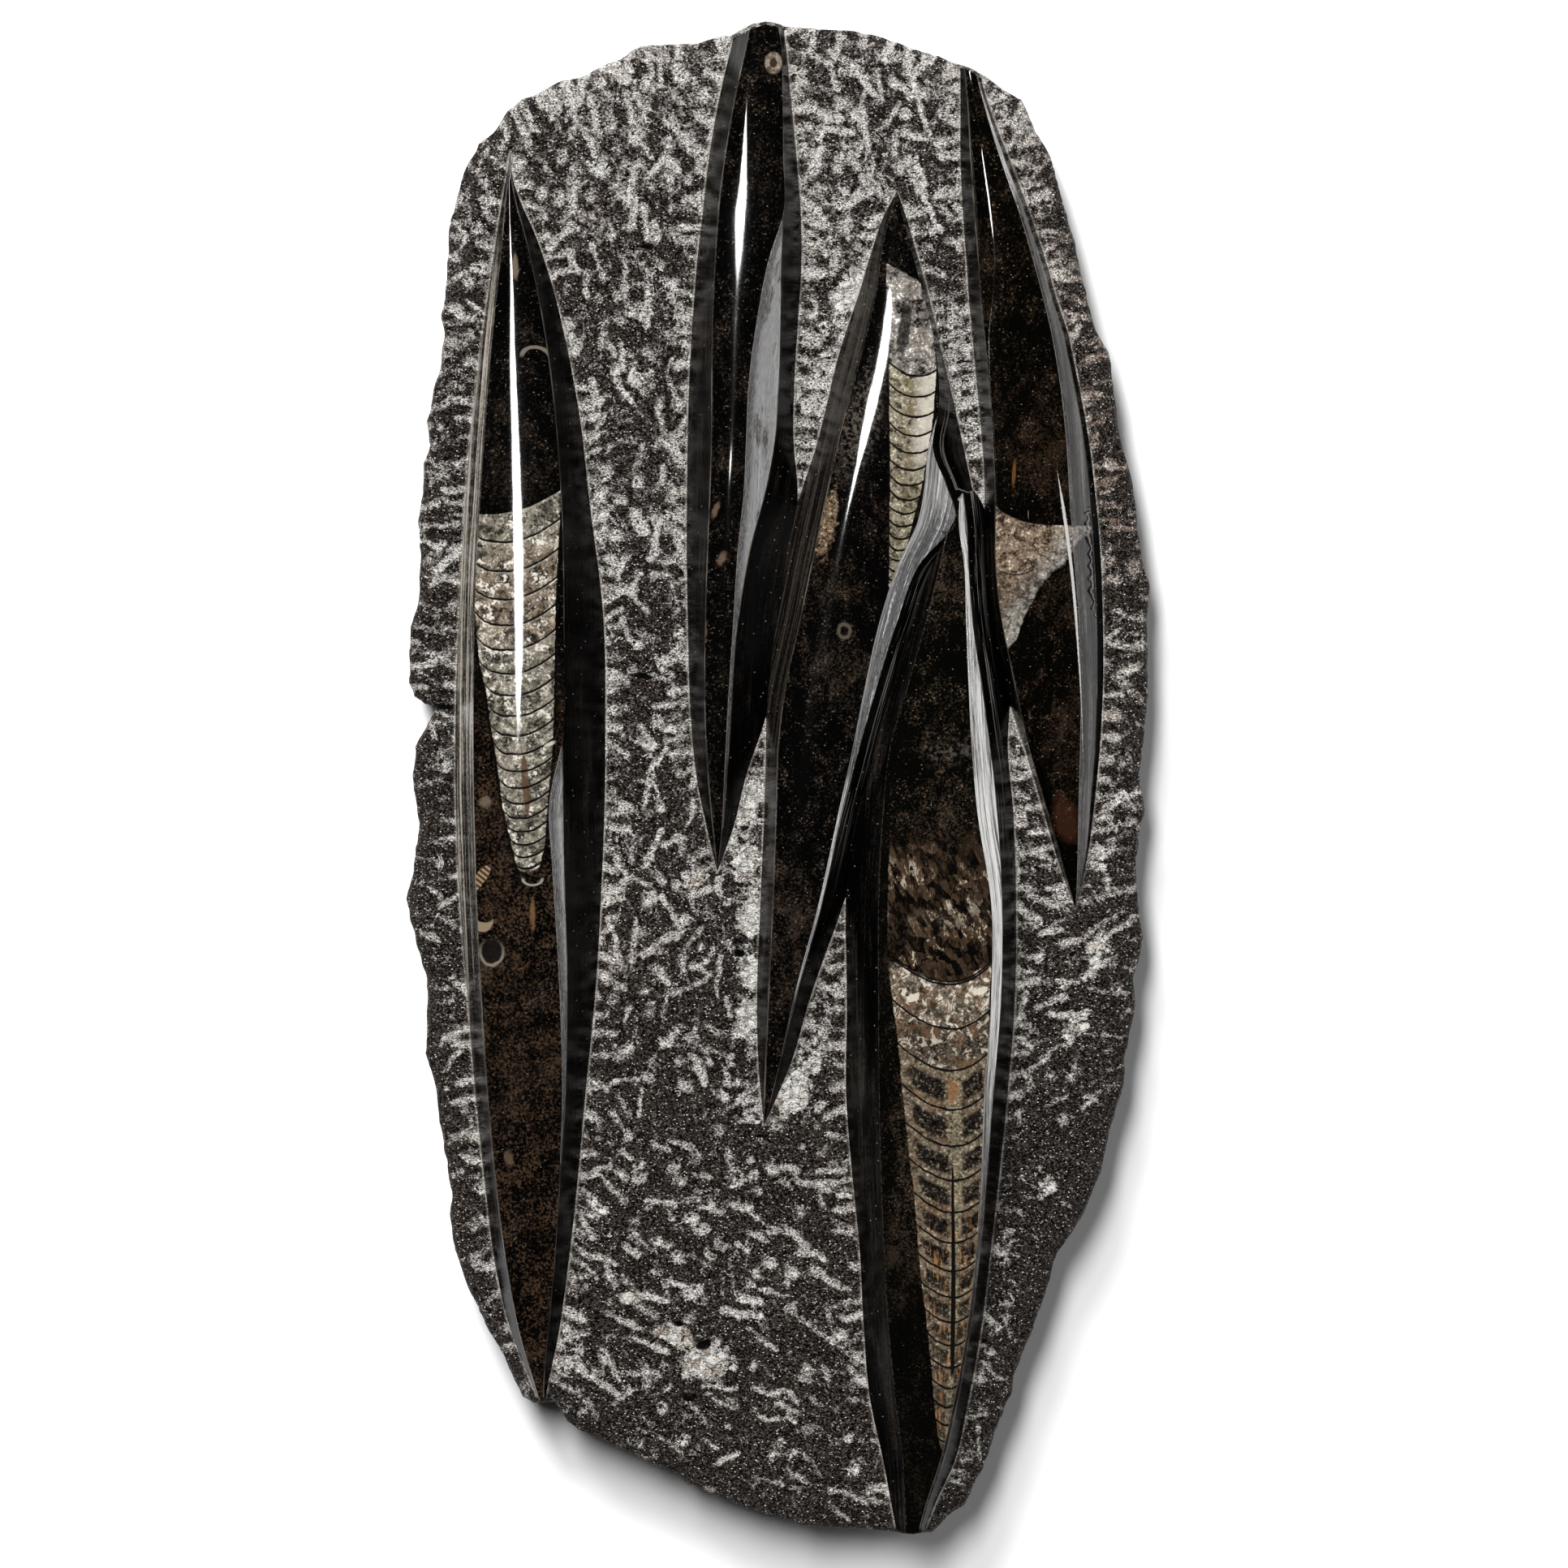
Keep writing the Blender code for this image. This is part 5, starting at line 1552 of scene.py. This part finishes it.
def right_crown():
    """The right shell: a window of pale calcite with one septum in it, and a painted highlight
    along its facet.
    """
    g = Graph("polished_right")
    colour, fine = crown_base(g, srgb(1, 1, 0), srgb(34, 25, 17), 0.02)
    colour = g.mix(window_mask(g) * 0.95, colour, window_fill(g))
    streak = spot(g, 77.6, 100, 0.7, 5.0, -4, 0.25)
    colour = g.mix(g.rise(streak, 1.1, 0.6) * 0.6, colour, srgb(104, 70, 36))
    # Painted highlight: a thin pale strip along the right shell's facet.
    colour = g.mix(facet_highlight(g) * 0.85, colour, srgb(190, 188, 185))
    tip = g.rise(spot(g, 95, -14, 5, 9, 12, 0.4, 3.0), 1.1, 0.5)
    colour = g.mix(tip * 0.2, colour, srgb(92, 56, 40))
    return crown_finish(g, colour, fine)


def window_mask(g):
    """Where the right shell's calcite window is."""
    x, y, _ = g.place()
    ragged = g.sway(3.0, 4, 0.6) * 2.4
    top = g.curve(x, [(66, 94.5), (70, 91), (76, 86.2), (82, 84), (88, 83.3), (98, 83), (106, 83)])
    foot = g.curve(x, [
        (66, 40), (74, 42), (78, 45), (80, 50), (83, 57), (88, 65), (95, 71.5), (100, 79),
        (106, 82),
    ])  # fmt: skip
    return g.rise(top - y + ragged * 0.2, -0.2, 0.3) * g.rise(y - foot + ragged * 1.3, -0.6, 1.0)


def window_fill(g):
    """Warm and cold calcite with dark seams, and a septum across it."""
    x, y, _ = g.place()
    warm = calcite(g, srgb(36, 28, 21), srgb(120, 103, 86), srgb(214, 201, 183), 3.0)
    cold = calcite(g, srgb(62, 58, 53), srgb(138, 133, 125), srgb(214, 209, 200), 3.6)
    fill = g.mix(g.rise(x * 0.8 - y * 0.6 + g.sway(6, 3) * 14, 22, 32), warm, cold)
    near, _ = g.cells(3.4, g.joined(x + g.sway(2, 3) * 4, y), "DISTANCE_TO_EDGE")
    seams = g.rise(near + g.sway(1.0, 2) * 0.2, 0.09, 0.0) * g.rise(g.noise(5, 2), 0.44, 0.56)
    fill = g.mix(seams * 0.8, fill, srgb(34, 26, 19))
    dull = g.rise(y + g.sway(6, 3) * 12, 69, 62) * g.rise(x * 0.8 - y * 0.6, 32, 26)
    fill = g.mix(
        dull * 0.6, fill, calcite(g, srgb(24, 19, 14), srgb(70, 58, 46), srgb(128, 112, 94), 3.0)
    )
    septum = (x - 78) * (x - 78) * 0.05 + 66.8
    line = g.rise(abs(y - septum), 0.45, 0.15) * between(g, x, 72, 84, 0.8)
    return g.mix(line * 0.85, fill, srgb(26, 20, 16))


def facet_highlight(g):
    """A thin painted highlight along the right shell's facet, where the narrow bevel catches the
    light.
    """
    x, y, _ = g.place()
    middle = g.curve(
        y, [(0, 100.6), (22, 100.0), (40, 99.0), (61, 97.4), (72, 96.2), (84, 94.6), (102, 91.7)]
    )
    half = g.curve(
        y, [(0, 0.0), (22, 0.08), (40, 0.25), (61, 0.45), (84, 0.5), (95, 0.2), (102, 0.0)]
    )
    return (
        g.rise(abs(x - middle) - half + g.sway(0.8, 3) * 0.4, 0.12, -0.12)
        * between(g, y, 0, 101, 2)
    )


CROWNS = {
    "left": left_crown,
    "upper": upper_crown,
    "leaning": leaning_crown,
    "lower": lower_crown,
    "right": right_crown,
}


# --- The scene ----------------------------------------------------------------------------------


def add_object(name, data):
    obj = bpy.data.objects.new(name, data)
    bpy.context.scene.collection.objects.link(obj)
    return obj


def add_stone():
    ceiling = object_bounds()[1][2] / MM
    stone = add_object("orthoceras_stone", stone_mesh(ceiling))
    for material in [
        ground_material(), side_material(), back_material(), flank_material(), facet_material(),
        *(CROWNS[name]() for name in RIDGES),
    ]:  # fmt: skip
        stone.data.materials.append(material)
    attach(stone, "root")
    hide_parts("orthoceras_plate")


def add_floor():
    mesh = bpy.data.meshes.new("floor")
    mesh.from_pydata([(-4, -4, 0), (4, -4, 0), (4, 4, 0), (-4, 4, 0)], [], [(0, 1, 2, 3)])
    floor = add_object("floor", mesh)
    g = Graph("floor_paper")
    tone = g.mix(g.noise(260, 2), (0.90, 0.90, 0.90), (0.92, 0.92, 0.92))
    floor.data.materials.append(g.finish(tone, 0.9))


def add_softbox(name, place, target, size, radiance, mirrored=True):
    """An oval light that faces the target, as bright as the radiance from any side."""
    light = bpy.data.lights.new(name, "AREA")
    light.shape = "ELLIPSE"
    light.size, light.size_y = size
    light.energy = radiance * math.pi * math.pi / 4 * size[0] * size[1]
    obj = add_object(name, light)
    obj.location = place
    direction = Vector(target) - Vector(place)
    obj.rotation_euler = direction.to_track_quat("-Z", "Y").to_euler()
    obj.visible_camera = False
    obj.visible_glossy = mirrored


def add_lights():
    add_softbox("key", (-1.11, 2.22, 6.0), (-1.11, 2.22, 0.0), (1.36, 3.6), 30.4)
    add_softbox("fill", (-1.2, 2.9, 3.0), (0.0, 0.0, 0.04), (1.5, 1.5), 33.5, mirrored=False)
    add_softbox("reflector", (1.41, 0.0, 1.41), (0.0, 0.0, 0.04), (1.2, 0.62), 4.1)
    world = bpy.data.worlds.new("studio")
    world.use_nodes = True
    background = world.node_tree.nodes["Background"]
    background.inputs["Color"].default_value = (1, 1, 1, 1)
    background.inputs["Strength"].default_value = 0.015
    bpy.context.scene.world = world


def add_camera():
    """Straight above and far off, as the plate lies flat below a long lens."""
    camera = bpy.data.cameras.new("camera")
    camera.lens, camera.sensor_width = 300, 36
    camera.clip_end = 20
    obj = add_object("camera", camera)
    # The picture takes in 0.5169 m at the ground's height.
    obj.location = (0.002, -0.002, 0.031 + 0.5169 * 300 / 36)
    obj.rotation_euler = (0, 0, 0)
    bpy.context.scene.camera = obj


def main():
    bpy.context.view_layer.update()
    add_stone()
    add_floor()
    add_lights()
    add_camera()
    bpy.context.scene.view_settings.view_transform = "Standard"


main()
